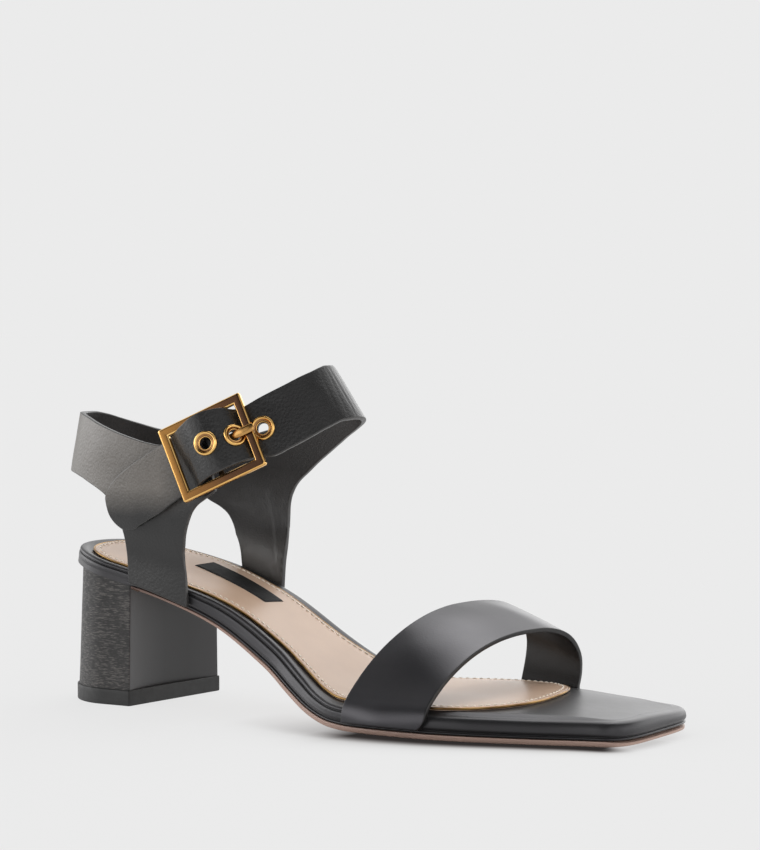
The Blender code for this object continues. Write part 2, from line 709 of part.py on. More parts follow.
def prong_path():
    m = buckle_matrix()
    rest = BUCKLE_T / 2 + GAP + PRONG_R
    tip = BUCKLE_L / 2 + 1.0
    edge = BUCKLE_L / 2 - BUCKLE_BAR
    local = [(BUCKLE_PIN_R + GAP + PRONG_R + 0.2, 0, 0.3), (edge, 0, rest + 0.05), (tip, 0, rest)]
    return [tuple(c / MM for c in (m @ Vector(tuple(k * MM for k in v)))) for v in local]


def wire(name, path, radius, group, sides=3):
    cu = bpy.data.curves.new(name, "CURVE")
    cu.dimensions = "3D"
    cu.bevel_depth = radius * MM
    cu.bevel_resolution = sides
    cu.use_fill_caps = True
    sp = cu.splines.new("POLY")
    sp.points.add(len(path) - 1)
    for q, p in zip(sp.points, path):
        q.co = (p[0] * MM, p[1] * MM, p[2] * MM, 1.0)
    tmp = bpy.data.objects.new(name + "_curve", cu)
    cutters.objects.link(tmp)
    bpy.context.view_layer.update()
    deps = bpy.context.evaluated_depsgraph_get()
    me = bpy.data.meshes.new_from_object(tmp.evaluated_get(deps))
    bpy.data.objects.remove(tmp)
    bm = bmesh.new()
    bm.from_mesh(me)
    bmesh.ops.remove_doubles(bm, verts=bm.verts, dist=0.00002)
    bmesh.ops.recalc_face_normals(bm, faces=bm.faces)
    bm.to_mesh(me)
    bm.free()
    me.name = name
    ob = bpy.data.objects.new(name, me)
    group.objects.link(ob)
    return ob


def make_tab():
    """Leather tongue from the outer leg round the buckle's centre bar."""
    m = buckle_matrix()
    r = BUCKLE_PIN_R + GAP + TAB_T / 2
    line = [(-13.0, -4.75), (-9.0, -4.05), (-6.0, -3.4), (-3.4, -2.5)]
    line += [(r * math.cos(math.radians(a)), r * math.sin(math.radians(a))) for a in range(-105, 151, 17)]
    grid = []
    for s, h in line:
        row = []
        for k in range(7):
            w = lerp(-TAB_W / 2, TAB_W / 2, k / 6)
            row.append(tuple(c / MM for c in (m @ Vector((s * MM, w * MM, h * MM)))))
        grid.append(row)
    return shell("buckle_tab", grid, TAB_T)


def make_eyelet(name, angle):
    p, run, width, out = band_frame(angle)
    base = STRAP_T / 2 + GAP
    #   radius, height above the band's middle
    profile = [(EYELET_HOLE, base), (EYELET_HOLE + 0.1, base + 0.4), (EYELET_HOLE + 0.6, base + 0.6),
               (EYELET_R - 0.7, base + 0.55), (EYELET_R, base + 0.2), (EYELET_R - 0.1, base)]
    me = bpy.data.meshes.new(name)
    edges = [(i, (i + 1) % len(profile)) for i in range(len(profile))]
    me.from_pydata([(r * MM, 0, h * MM) for r, h in profile], edges, [])
    ob = bpy.data.objects.new(name, me)
    parts.objects.link(ob)
    sc = ob.modifiers.new("turn", "SCREW")
    sc.steps = sc.render_steps = 24
    sc.use_merge_vertices = True
    sc.merge_threshold = 0.00001
    bake(ob)
    bm = bmesh.new()
    bm.from_mesh(ob.data)
    bmesh.ops.remove_doubles(bm, verts=bm.verts, dist=0.00001)
    bmesh.ops.recalc_face_normals(bm, faces=bm.faces)
    if bm.calc_volume(signed=True) < 0:
        bmesh.ops.reverse_faces(bm, faces=bm.faces)
    bm.to_mesh(ob.data)
    bm.free()
    m = Matrix.Identity(4)
    for r in range(3):
        m[r][0], m[r][1], m[r][2], m[r][3] = run[r], width[r], out[r], p[r] * MM
    if m.to_3x3().determinant() < 0:
        for r in range(3):
            m[r][1] = -m[r][1]
    ob.data.transform(m)
    return ob


def make_eyelet_holes(upper):
    for name, angle in EYELET_ANGLES:
        p, run, width, out = band_frame(angle)
        hole = rod("cut_" + name, EYELET_HOLE, p - out * 3.0, p + out * 3.0, cutters, 20)
        combine(upper, hole, "DIFFERENCE")


# ------------------------------------------------------------------ build
def finish():
    """Materials, flat shading off on curved pieces, and the common origin."""
    lo = Vector((1e9,) * 3)
    hi = Vector((-1e9,) * 3)
    for ob in parts.objects:
        for v in ob.data.vertices:
            for c in range(3):
                lo[c] = min(lo[c], v.co[c])
                hi[c] = max(hi[c], v.co[c])
    shift = Matrix.Translation((-(lo.x + hi.x) / 2, -(lo.y + hi.y) / 2, -lo.z))
    for ob in list(parts.objects) + list(cutters.objects):
        ob.data.transform(shift)
    for ob in parts.objects:
        colour, rough, metal = COLOURS[ob.name]
        mat = bpy.data.materials.new(ob.name)
        mat.use_nodes = True
        b = mat.node_tree.nodes["Principled BSDF"]
        b.inputs["Base Color"].default_value = (*colour, 1.0)
        b.inputs["Roughness"].default_value = rough
        b.inputs["Metallic"].default_value = metal
        mat.diffuse_color = (*colour, 1.0)
        ob.data.materials.clear()
        ob.data.materials.append(mat)


for old in list(bpy.data.objects):
    bpy.data.objects.remove(old)
parts = bpy.data.collections.new(NAME)
cutters = bpy.data.collections.new(NAME + "_cutters")
for group in (parts, cutters):
    bpy.context.scene.collection.children.link(group)

make_outsole()
make_footbed()
make_sock()
make_heel()
make_lift()
make_toe_strap()
ankle = make_upper()
make_buckle()
tab = make_tab()
rings = [make_eyelet(n, a) for n, a in EYELET_ANGLES]
make_eyelet_holes(ankle)
wire("buckle_prong", prong_path(), PRONG_R, parts)
way = wire("cut_prong_way", prong_path(), PRONG_R + GAP + 0.1, cutters)
for piece in [ankle, tab, rings[1]]:
    combine(piece, way, "DIFFERENCE")
for ob in cutters.objects:
    ob.hide_render = True
    ob.display_type = "WIRE"
finish()
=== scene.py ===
"""Looks of the heeled ankle-strap sandal: leather, edges, stitching, metal, floor, light and camera.

Shapes are worked out in the part's working frame, in millimetres: x from the
heel's back to the toe, -y the outer side, z up from the floor.  SHIFT moves
them into the model's frame.
"""

import math

import bmesh
import bpy
import numpy as np
from mathutils import Matrix, Vector


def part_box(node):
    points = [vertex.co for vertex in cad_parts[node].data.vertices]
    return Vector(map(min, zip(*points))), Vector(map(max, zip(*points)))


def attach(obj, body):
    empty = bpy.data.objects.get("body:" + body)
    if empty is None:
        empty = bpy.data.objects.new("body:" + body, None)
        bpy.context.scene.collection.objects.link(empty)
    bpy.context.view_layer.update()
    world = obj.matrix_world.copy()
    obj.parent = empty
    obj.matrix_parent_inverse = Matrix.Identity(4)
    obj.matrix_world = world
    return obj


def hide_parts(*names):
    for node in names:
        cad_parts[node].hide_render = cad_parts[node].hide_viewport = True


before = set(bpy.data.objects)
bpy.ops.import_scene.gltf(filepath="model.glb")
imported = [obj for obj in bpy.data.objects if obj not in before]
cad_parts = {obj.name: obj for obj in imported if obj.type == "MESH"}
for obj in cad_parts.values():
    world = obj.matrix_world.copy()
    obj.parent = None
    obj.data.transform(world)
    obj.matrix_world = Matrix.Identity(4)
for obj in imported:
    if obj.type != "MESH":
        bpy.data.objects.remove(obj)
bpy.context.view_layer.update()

MM = 0.001
GAP = 0.3

# ------------------------------------------------------------------ sizes
#   x, under_z, outer_half, inner_half
SOLE_ROWS = [
    (-4.0, 54.4, 26.9, 28.4),
    (12.0, 51.4, 26.9, 28.4),
    (28.0, 47.6, 26.7, 28.4),
    (50.0, 42.2, 26.3, 27.5),
    (75.0, 33.0, 24.4, 24.0),
    (100.0, 18.6, 26.6, 22.6),
    (113.0, 10.3, 31.2, 24.4),
    (125.0, 3.9, 35.7, 27.4),
    (136.0, 0.8, 38.8, 31.0),
    (146.0, 0.0, 40.0, 33.8),
    (160.0, 0.0, 41.6, 37.6),
    (175.0, 0.0, 41.6, 40.3),
    (190.0, 0.0, 39.7, 41.3),
    (203.0, 0.0, 36.5, 39.8),
    (214.0, 0.0, 33.4, 36.7),
    (226.0, 0.2, 30.5, 33.3),
    (238.0, 0.5, 28.7, 30.8),
    (252.0, 0.9, 28.0, 29.8),
]
HEEL_END = (28.0, 0.8)
TOE_END = (234.0, 249.4)
TOE_SLANT = -0.2
PLATFORM, PLATFORM_SEAT, PLATFORM_ARCH = 8.6, 6.9, 1.45
OUTSOLE_FRONT, OUTSOLE_REAR = 1.9, 1.0
BREAST_X, BREAST_SKEW = 40.8, 2.0
HEEL_TOP = (4.2, 25.9, 26.1)
HEEL_FOOT = (1.6, 26.6, 26.6)
LIFT_H = 6.0
SOCK_TOE = (168.0, 205.5)
SOCK_INSET, SOCK_T = (5.7, 4.6), 0.9
#   inset and level at the rear, inset and level at the forefoot, extra height
FOOTBED_PROFILE = [
    (3.4, 0.0, 3.4, 0.0, 0.0), (0.85, 0.0, 0.85, 0.0, 0.0), (0.45, 0.0, 0.45, 0.0, 0.18),
    (0.32, 0.0, 0.32, 0.0, 0.5), (0.45, 0.0, 0.45, 0.0, 0.82), (0.95, 0.0, 0.95, 0.0, 1.05),
    (0.95, 0.0, 0.95, 0.0, 1.2), (0.35, 0.0, 0.35, 0.0, 1.45), (0.08, 0.0, 0.1, 0.0, 1.9),
    (0.0, 0.45, 0.0, 0.46, 0.0), (0.0, 0.6, 0.1, 0.62, 0.0), (0.07, 0.665, 0.22, 0.7, 0.0),
    (0.3, 0.7, 0.34, 0.75, 0.0), (0.66, 0.715, 0.42, 0.78, 0.0), (0.66, 0.745, 0.52, 0.81, 0.0),
    (0.34, 0.772, 0.66, 0.845, 0.0), (0.2, 0.825, 0.88, 0.885, 0.0), (0.26, 0.89, 1.2, 0.925, 0.0),
    (0.55, 0.955, 1.65, 0.965, 0.0), (1.05, 0.99, 2.2, 0.99, 0.0), (2.1, 1.0, 3.0, 1.0, 0.1),
    (3.7, 1.0, 4.3, 1.0, 0.6), (5.4, 1.0, 5.4, 1.0, 1.0),
]
#   x, rise of the inner rim, extra rise of the top
INNER_RISE = [
    (-4.0, 0.5, 0.7), (15.0, 0.8, 0.7), (40.0, 1.6, 0.7), (60.0, 1.5, 0.6),
    (78.0, 0.8, 0.4), (95.0, 0.35, 0.0), (120.0, 0.9, 0.0), (150.0, 1.2, 0.0),
    (175.0, 1.5, 0.0), (195.0, 1.3, 0.0), (212.0, 0.9, 0.0), (226.0, 0.4, 0.0),
    (238.0, -0.4, 0.0), (246.0, -1.0, 0.0), (252.0, -1.3, 0.0),
]
SEAT_DISH, BALL_DISH, BALL_CROWN = -1.1, 0.8, 1.5
STRAP_T, TOE_STRAP_T = 2.0, 1.8

#   z, half_width
LAST_ROWS = [(36.0, 27.6), (52.0, 28.0), (65.0, 31.3), (80.0, 33.2),
             (95.0, 33.0), (110.0, 31.8), (134.0, 29.2)]
LAST_MID = (50.0, 0.5)
LAST_BACK = (-2.5, 88.0, 4.5 / 22.0)
LAST_FRONT = (124.0, 110.6, -0.72)
SOLE = -1.0
#   angle, lower_z
BAND_LOWER = [
    (290.0, 83.9), (286.6, 80.7), (284.3, 78.4), (282.6, 75.6), (281.3, 72.2),
    (280.1, 68.4), (278.8, 63.0), (277.7, 57.0), (277.3, SOLE), (261.2, SOLE),
    (260.2, 60.0),
    (259.6, 66.0), (258.0, 72.0), (255.0, 77.0), (250.9, 80.6), (246.8, 82.5),
    (239.0, 84.9), (228.6, 87.2), (218.0, 88.3), (200.0, 88.8), (180.0, 88.9),
    (160.0, 88.8), (142.0, 88.2), (131.4, 87.0), (121.0, 84.2), (113.0, 80.2),
    (104.8, 75.4), (99.8, 73.1), (95.7, 70.5), (92.3, 66.6), (89.9, 62.0),
    (88.4, 56.0), (87.6, SOLE), (79.7, SOLE), (77.5, 57.3), (77.1, 68.0),
    (76.6, 74.7), (75.0, 80.2), (73.1, 83.5), (68.8, 87.9), (64.2, 92.0),
    (58.9, 95.7), (52.6, 99.4), (44.6, 103.1), (29.6, 107.3), (12.0, 110.0),
    (0.0, 110.6), (-11.6, 110.2), (-23.2, 107.8), (-34.1, 104.0),
    (-43.1, 100.2), (-50.8, 97.0), (-53.0, 96.8), (-55.0, 96.5), (-57.0, 95.8),
    (-58.4, 95.2), (-60.0, 94.4), (-62.0, 93.3), (-64.0, 92.1), (-66.0, 90.9),
    (-68.0, 89.5), (-70.0, 87.9), (-71.4, 86.6), (-72.5, 85.6), (-73.8, 84.6),
    (-75.0, 83.8), (-76.4, 82.9), (-77.8, 81.8), (-81.5, 78.4), (-84.2, 75.5),
    (-87.0, 73.1), (-89.8, 70.7), (-93.5, 68.7), (-97.5, 68.3), (-101.5, 70.2),
    (-104.2, 73.2), (-105.8, 77.2), (-106.4, 79.4),
]
#   angle, upper_z
BAND_UPPER = [
    (290.0, 101.0), (275.9, 100.0), (269.0, 101.3), (257.4, 103.7),
    (242.6, 106.8), (224.8, 109.9), (210.0, 111.0), (180.0, 110.9),
    (166.0, 109.7), (157.8, 108.3), (144.2, 105.7), (132.4, 103.3),
    (115.0, 100.6), (103.0, 99.8), (92.0, 100.4), (80.0, 103.6),
    (70.0, 107.8), (60.0, 112.6), (50.0, 117.2), (40.0, 121.4), (28.0, 125.6),
    (17.8, 127.9), (8.0, 129.3), (-2.3, 129.3), (-9.3, 128.6), (-17.8, 127.1),
    (-25.1, 125.5), (-37.1, 121.8), (-47.2, 118.0), (-50.0, 116.7),
    (-52.8, 115.3), (-55.0, 114.3), (-57.0, 113.6), (-58.4, 113.5), (-60.0, 113.8),
    (-61.5, 114.1), (-63.5, 113.8), (-66.0, 113.0), (-68.0, 112.1), (-69.5, 111.2),
    (-71.0, 110.1), (-72.5, 108.8), (-74.0, 107.4), (-76.0, 105.4), (-78.0, 103.4),
    (-80.0, 101.7), (-83.1, 99.7), (-86.2, 97.4), (-89.3, 94.7), (-93.8, 92.0),
    (-98.9, 88.8), (-102.6, 85.7), (-105.3, 82.6), (-106.4, 80.4),
]
#   angle, stand-off of the band from the last
BAND_LIFT = [
    (290.0, 0.0), (0.0, 0.0), (-20.0, 0.6), (-40.0, 1.3), (-46.0, 1.38),
    (-48.0, 1.35), (-50.0, 1.4), (-52.0, 1.34), (-54.0, 1.43), (-55.4, 1.9),
    (-56.6, 2.88), (-57.8, 4.57), (-59.0, 6.23), (-60.4, 7.53), (-62.0, 8.46),
    (-64.0, 9.25), (-66.4, 9.76), (-68.6, 9.82), (-70.6, 9.51), (-72.2, 8.77),
    (-73.6, 7.56), (-74.8, 6.1), (-76.0, 4.64), (-77.4, 3.81), (-79.0, 3.49),
    (-81.0, 3.19), (-84.0, 2.95), (-92.0, 2.6), (-106.4, 2.5),
]
BAND_TILT = 0.19
#   rear_y, rear_z, front_y, front_z
TOE_STRAP_ROWS = [
    (-40.0, 10.2, -41.8, 10.0),
    (-36.6, 14.8, -38.6, 13.5),
    (-32.0, 20.0, -33.4, 17.8),
    (-26.5, 25.2, -26.8, 22.1),
    (-19.0, 30.8, -18.2, 26.4),
    (-10.0, 35.8, -8.2, 29.9),
    (0.0, 39.6, 2.0, 32.1),
    (10.0, 41.5, 12.0, 33.1),
    (20.0, 42.0, 22.0, 33.2),
    (29.0, 41.5, 30.5, 32.0),
    (37.5, 38.9, 37.6, 29.3),
    (43.2, 33.0, 42.2, 25.0),
    (45.6, 26.0, 44.6, 19.6),
    (44.4, 18.0, 44.4, 14.6),
]
TOE_REAR_X = (143.6, 172.0)
TOE_FRONT_X = (178.6, 195.0)

BUCKLE_AT = (83.2, -34.6, 99.9)
BUCKLE_TURN, BUCKLE_LEAN, BUCKLE_SLOPE = 13.0, 11.0, 25.6
BUCKLE_L, BUCKLE_W, BUCKLE_BAR, BUCKLE_T = 34.6, 29.4, 3.4, 2.4
BUCKLE_PIN_R, PRONG_R = 1.1, 0.85
TAB_T, TAB_W = 0.8, 17.0
EYELET_R, EYELET_HOLE = 4.1, 2.1
EYELET_ANGLES = [("eyelet_1", -66.5), ("eyelet_2", -59.0), ("eyelet_3", -49.9)]

# Plain patch on the sock: middle, length, width, turn in degrees.
PATCH = (62.6, 7.6, 34.8, 9.9, -9.9)


# ------------------------------------------------------------------ helpers
def smooth_table(rows, column=1, blur=0.0):
    """Shape-keeping cubic through a table, softened by a blur in the first column's unit."""
    pts = sorted((r[0], r[column]) for r in rows)
    x = np.array([p[0] for p in pts], float)
    y = np.array([p[1] for p in pts], float)
    h = np.diff(x)
    d = np.diff(y) / h
    m = np.zeros(len(x))
    for i in range(1, len(x) - 1):
        if d[i - 1] * d[i] > 0:
            w1, w2 = 2 * h[i] + h[i - 1], h[i] + 2 * h[i - 1]
            m[i] = (w1 + w2) / (w1 / d[i - 1] + w2 / d[i])
    m[0], m[-1] = d[0], d[-1]

    def exact(q):
        q = np.clip(np.asarray(q, float), x[0], x[-1])
        i = np.clip(np.searchsorted(x, q, side="right") - 1, 0, len(h) - 1)
        t = (q - x[i]) / h[i]
        return ((2 * t**3 - 3 * t**2 + 1) * y[i] + (t**3 - 2 * t**2 + t) * h[i] * m[i]
                + (3 * t**2 - 2 * t**3) * y[i + 1] + (t**3 - t**2) * h[i] * m[i + 1])
    if not blur:
        return exact
    n = 4000
    q = np.linspace(x[0], x[-1], n)
    v = exact(q)
    r = max(2, int(3 * blur / (q[1] - q[0])))
    k = np.exp(-0.5 * (np.arange(-r, r + 1) * (q[1] - q[0]) / blur) ** 2)
    k /= k.sum()
    left = 2 * v[0] - v[r:0:-1]
    right = 2 * v[-1] - v[-2:-r - 2:-1]
    soft = np.convolve(np.concatenate([left, v, right]), k, "valid")
    return lambda s: np.interp(s, q, soft)


def step(a, b, x):
    t = np.clip((np.asarray(x, float) - a) / (b - a), 0.0, 1.0)
    return t * t * (3 - 2 * t)


def lerp(a, b, t):
    return a + (b - a) * t


def unit(v):
    return v / np.maximum(np.linalg.norm(v, axis=-1, keepdims=True), 1e-12)


def ripple(p, size, seed):
    """Gentle uneven swell over points, about -1 to 1, with features of a size in mm."""
    rng = np.random.default_rng(seed)
    total = np.zeros(p.shape[:-1])
    for _ in range(7):
        k = unit(rng.normal(size=3)) * rng.uniform(0.7, 1.6) * 2 * math.pi / size
        total += np.sin(p @ k + rng.uniform(0, 2 * math.pi))
    return total / 4.0


def refine(values, step_size):
    """Parameters along a polyline of points, evenly spaced by a step."""
    run = np.concatenate([[0], np.cumsum(np.linalg.norm(np.diff(values, axis=0), axis=1))])
    return run, np.linspace(0, run[-1], max(2, int(run[-1] / step_size)))


under_z = smooth_table(SOLE_ROWS, 1, 2.2)
outer_half = smooth_table(SOLE_ROWS, 2, 2.2)
inner_half = smooth_table(SOLE_ROWS, 3, 2.2)
last_half = smooth_table(LAST_ROWS, 1, 2.5)
rim_rise = smooth_table(INNER_RISE, 1, 3.0)
top_rise = smooth_table(INNER_RISE, 2, 3.0)

lift_lo, lift_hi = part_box("heel_lift")


def sole_normal(x):
    slope = under_z(x + 0.5) - under_z(x - 0.5)
    n = np.hypot(slope, 1.0)
    return -slope / n, 1.0 / n


def outsole_t(x):
    return lerp(OUTSOLE_REAR, OUTSOLE_FRONT, step(60, 135, x))


def rim_height(x, y=-30.0):
    arch = PLATFORM_ARCH * step(45, 98, x) * (1 - step(108, 142, x))
    return lerp(PLATFORM_SEAT, PLATFORM, step(25, 95, x)) + arch + rim_rise(x) * step(-8, 24, y)


def top_height(x, y):
    half = np.where(y < 0, outer_half(x), inner_half(x)) - 5.4
    v = np.minimum(np.abs(y) / half, 1.0)
    crown = BALL_CROWN * step(95, 155, x) * (1 - step(208, 246, x))
    dish = lerp(SEAT_DISH, BALL_DISH, step(85, 150, x)) * (1 - 0.75 * step(226, 247, x))
    flat = 0.5 * step(2, -12, y) * crown / BALL_CROWN
    return rim_height(x, y) + dish + flat + (crown - flat) * (1 - v ** 2.4) + top_rise(x) * step(-8, 24, y)


def on_sole(xy, h):
    nx, nz = sole_normal(xy[:, 0])
    return np.stack([xy[:, 0] + h * nx, xy[:, 1], under_z(xy[:, 0]) + h * nz], axis=1)


def station_of(p):
    x = p[:, 0].copy()
    for _ in range(8):
        nx, nz = sole_normal(x)
        h = (p[:, 2] - under_z(x)) * nz - (x - p[:, 0]) * nx
        x = p[:, 0] - h * nx
    return x


def stations(heel, toe, n_heel, n_mid, n_toe, toe_power):
    out = []
    if heel:
        for k in range(n_heel):
            a = math.radians(lerp(1.0, 90.0, k / n_heel))
            out.append((heel[0] - (heel[0] - heel[1]) * math.cos(a), math.sin(a)))
        start = heel[0]
    else:
        start = BREAST_X + GAP
    for k in range(n_mid):
        out.append((lerp(start, toe[0], k / n_mid), 1.0))
    for k in range(n_toe):
        a = math.radians(lerp(0.0, 89.3, k / (n_toe - 1)))
        out.append((toe[0] + (toe[1] - toe[0]) * math.sin(a) ** (2 / toe_power),
                    math.cos(a) ** (2 / toe_power)))
    return np.array(out)


def offset(ring, inset):
    t = np.roll(ring, -1, axis=0) - np.roll(ring, 1, axis=0)
    t = unit(t)
    inset = np.broadcast_to(inset, (len(ring),))[:, None]
    return ring + inset * np.stack([-t[:, 1], t[:, 0]], axis=1)


def plan(stops, inset=0.0, fore=None):
    x, f = stops[:, 0], stops[:, 1]
    near = np.stack([x, -outer_half(x) * f], axis=1)
    far = np.stack([x, inner_half(x) * f], axis=1)
    ring = np.concatenate([near, far[::-1]])
    x, y = ring[:, 0], ring[:, 1]
    moved = x - TOE_SLANT * (y / 29.0) * step(195, 247, x)
    skew = BREAST_SKEW * (y / 26.5) * step(8, BREAST_X, moved) * (1 - step(50, 70, moved))
    moved = moved + np.where(moved < 70, skew, 0.0)
    if fore is not None:
        inset = lerp(inset, fore, step(138, 178, moved))
    return offset(np.stack([moved, y], axis=1), inset)


def heel_outline(level, proud=0.0, fillet=0.35, scoop=0.0):
    """D outline of the heel with softened breast corners; second result marks the breast."""
    back, near_w, far_w = (lerp(f, t, level) for f, t in zip(HEEL_FOOT, HEEL_TOP))
    start, front = 27.0, BREAST_X + proud * 0.5
    a = np.radians(np.linspace(2.0, 90.0, 70, endpoint=False))
    bx = start - (start - back + proud) * np.cos(a)
    bf = np.sin(a)
    sx = np.linspace(start, front - fillet, 20)
    arc = np.radians(np.linspace(0, 90, 7))
    pts, mark = [], []
    for w, side in ((near_w + proud, -1), (far_w + proud, 1)):
        run = [(x, side * w * f) for x, f in zip(bx, bf)] + [(x, side * w) for x in sx]
        run += [(front - fillet + fillet * math.sin(t), side * (w - fillet + fillet * math.cos(t))) for t in arc[1:]]
        breast = [(front, side * (w - fillet) * k) for k in np.linspace(1, 0, 26)[1:]]
        if side > 0:
            breast = breast[:-1]
        line = run + breast
        flag = [0] * (len(run) - 3) + [1] * (3 + len(breast))
        pts += line if side < 0 else line[::-1]
        mark += flag if side < 0 else flag[::-1]
    p = np.array(pts)
    p[:, 0] += BREAST_SKEW * (p[:, 1] / 26.0) * step(8, BREAST_X, p[:, 0])
    mark = np.array(mark)
    p[:, 0] -= scoop * np.where(mark == 1, np.clip(1 - (p[:, 1] / (near_w - 0.3)) ** 2, 0, 1), 0.0)
    return p, mark


def cad_lift_corner():
    """Lowest x and y of the part's top piece in the working frame."""
    back, near_w, _ = HEEL_FOOT
    xs, ys = [], []
    for k in range(9):
        a = math.radians(lerp(4.0, 90.0, k / 9))
        xs.append((27.0 - (27.0 - back + 0.7) * math.cos(a), math.sin(a)))
    for k in range(4):
        xs.append((lerp(27.0, BREAST_X + 0.35, k / 3), 1.0))
    for x, f in xs:
        y = -(near_w + 0.7) * f
        ys.append((x + BREAST_SKEW * (y / 26.0) * float(step(8, BREAST_X, x)), y))
    far = -HEEL_FOOT[2] - 0.7
    low_x = min(min(p[0] for p in ys), min(x + BREAST_SKEW * (-far * f / 26.0) * float(step(8, BREAST_X, x)) for x, f in xs))
    return low_x, min(p[1] for p in ys)


corner = cad_lift_corner()
SHIFT = np.array([lift_lo.x / MM - corner[0], lift_lo.y / MM - corner[1], 0.0])


def put(name, verts, faces, mats, face_mat=None, replaces=(), sharp=None, loose=False):
    """Mesh piece from points in mm, smooth shaded, carried by the part's one body."""
    me = bpy.data.meshes.new(name)
    co = (np.asarray(verts, float) + SHIFT) * MM
    me.from_pydata([tuple(c) for c in co], [], [tuple(int(i) for i in f) for f in faces])
    for m in mats:
        me.materials.append(m)
    if face_mat is not None:
        me.polygons.foreach_set("material_index", np.asarray(face_mat, np.int32))
    if not loose:
        bm = bmesh.new()
        bm.from_mesh(me)
        bmesh.ops.recalc_face_normals(bm, faces=bm.faces)
        if bm.calc_volume(signed=True) < 0:
            bmesh.ops.reverse_faces(bm, faces=bm.faces)
        bm.to_mesh(me)
        bm.free()
    me.polygons.foreach_set("use_smooth", np.ones(len(me.polygons), bool))
    if sharp:
        me.set_sharp_from_angle(angle=math.radians(sharp))
    me.update()
    ob = bpy.data.objects.new(name, me)
    bpy.context.scene.collection.objects.link(ob)
    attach(ob, "root")
    if replaces:
        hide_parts(*replaces)
    return ob


def loft(rings, closed=True):
    """Faces between equal rings of n points, ring after ring."""
    k, n = len(rings), len(rings[0])
    i = np.arange(n if closed else n - 1)
    j = (i + 1) % n
    return np.concatenate([np.stack([r * n + i, r * n + j, (r + 1) * n + j, (r + 1) * n + i], axis=1)
                           for r in range(k - 1)])


def ladder(ring, start, total, across, shape):
    """Closes a ring by rungs between its two sides. Gives new points and faces."""
    n = len(ring)
    half = n // 2
    a, b = ring[:half], ring[::-1][:half]
    k = np.linspace(0, 1, across + 1)[1:-1]
    inner = a[1:-1, None, :] + (b - a)[1:-1, None, :] * k[None, :, None]
    pts = shape(inner.reshape(-1, 3))
    width = across - 1
    ids = np.zeros((half, across + 1), int)
    ids[:, 0] = start + np.arange(half)
    ids[:, -1] = start + n - 1 - np.arange(half)
    ids[1:-1, 1:-1] = total + np.arange((half - 2) * width).reshape(half - 2, width)
    faces = []
    for i in range(half - 1):
        r, q = ids[i], ids[i + 1]
        if i == 0:
            faces += [(r[0], q[c], q[c + 1]) for c in range(across)]
            faces.append((r[0], q[-1], r[-1]))
        elif i == half - 2:
            faces += [(r[c], q[0], r[c + 1]) for c in range(across)]
            faces.append((r[-1], q[0], q[-1]))
        else:
            faces += [(r[c], q[c], q[c + 1], r[c + 1]) for c in range(across)]
    return pts, faces


def blend_rings(rings, size):
    """More rings through given ones, by a smooth curve, no further apart than a size."""
    a = np.array(rings)
    gaps = np.linalg.norm(np.diff(a, axis=0), axis=2).mean(axis=1)
    m = np.zeros_like(a)
    d = np.diff(a, axis=0) / gaps[:, None, None]
    m[0], m[-1] = d[0], d[-1]
    m[1:-1] = (d[:-1] * gaps[1:, None, None] + d[1:] * gaps[:-1, None, None]) / (gaps[1:] + gaps[:-1])[:, None, None]
    out = []
    for i, h in enumerate(gaps):
        count = max(2, math.ceil(h / size))
        for t in np.arange(count) / count:
            out.append((2 * t**3 - 3 * t**2 + 1) * a[i] + (t**3 - 2 * t**2 + t) * h * m[i]
                       + (3 * t**2 - 2 * t**3) * a[i + 1] + (t**3 - t**2) * h * m[i + 1])
    return out + [a[-1]]


# ------------------------------------------------------------------ materials
def new_material(name):
    mat = bpy.data.materials.new(name)
    mat.use_nodes = True
    nt = mat.node_tree
    return mat, nt, nt.nodes["Principled BSDF"]


def add(nt, kind, **sockets):
    node = nt.nodes.new(kind)
    for key, value in sockets.items():
        if key in node.inputs:
            node.inputs[key].default_value = value
        else:
            setattr(node, key, value)
    return node


def coords(nt, scale=(1, 1, 1)):
    tc = add(nt, "ShaderNodeTexCoord")
    mp = add(nt, "ShaderNodeMapping")
    mp.inputs["Scale"].default_value = scale
    nt.links.new(tc.outputs["Object"], mp.inputs["Vector"])
    return mp.outputs["Vector"]


def noise(nt, vector, scale, detail=3.0, rough=0.5):
    n = add(nt, "ShaderNodeTexNoise")
    n.inputs["Scale"].default_value = scale
    n.inputs["Detail"].default_value = detail
    n.inputs["Roughness"].default_value = rough
    nt.links.new(vector, n.inputs["Vector"])
    return n.outputs["Fac"]


def ramp(nt, fac, stops):
    r = add(nt, "ShaderNodeValToRGB")
    while len(r.color_ramp.elements) < len(stops):
        r.color_ramp.elements.new(0.5)
    for e, (pos, col) in zip(r.color_ramp.elements, stops):
        e.position = pos
        e.color = (*col, 1.0) if len(col) == 3 else col
    nt.links.new(fac, r.inputs["Fac"])
    return r.outputs["Color"]


def spread(nt, fac, low, high, a=0.3, b=0.7):
    m = add(nt, "ShaderNodeMapRange")
    m.inputs["From Min"].default_value = a
    m.inputs["From Max"].default_value = b
    m.inputs["To Min"].default_value = low
    m.inputs["To Max"].default_value = high
    nt.links.new(fac, m.inputs["Value"])
    return m.outputs["Result"]


def bump(nt, bsdf, layers):
    """Chain of bumps: (height socket, strength, depth in metres)."""
    last = None
    for height, strength, depth in layers:
        b = add(nt, "ShaderNodeBump")
        b.inputs["Strength"].default_value = strength
        b.inputs["Distance"].default_value = depth
        nt.links.new(height, b.inputs["Height"])
        if last is not None:
            nt.links.new(last, b.inputs["Normal"])
        last = b.outputs["Normal"]
    nt.links.new(last, bsdf.inputs["Normal"])


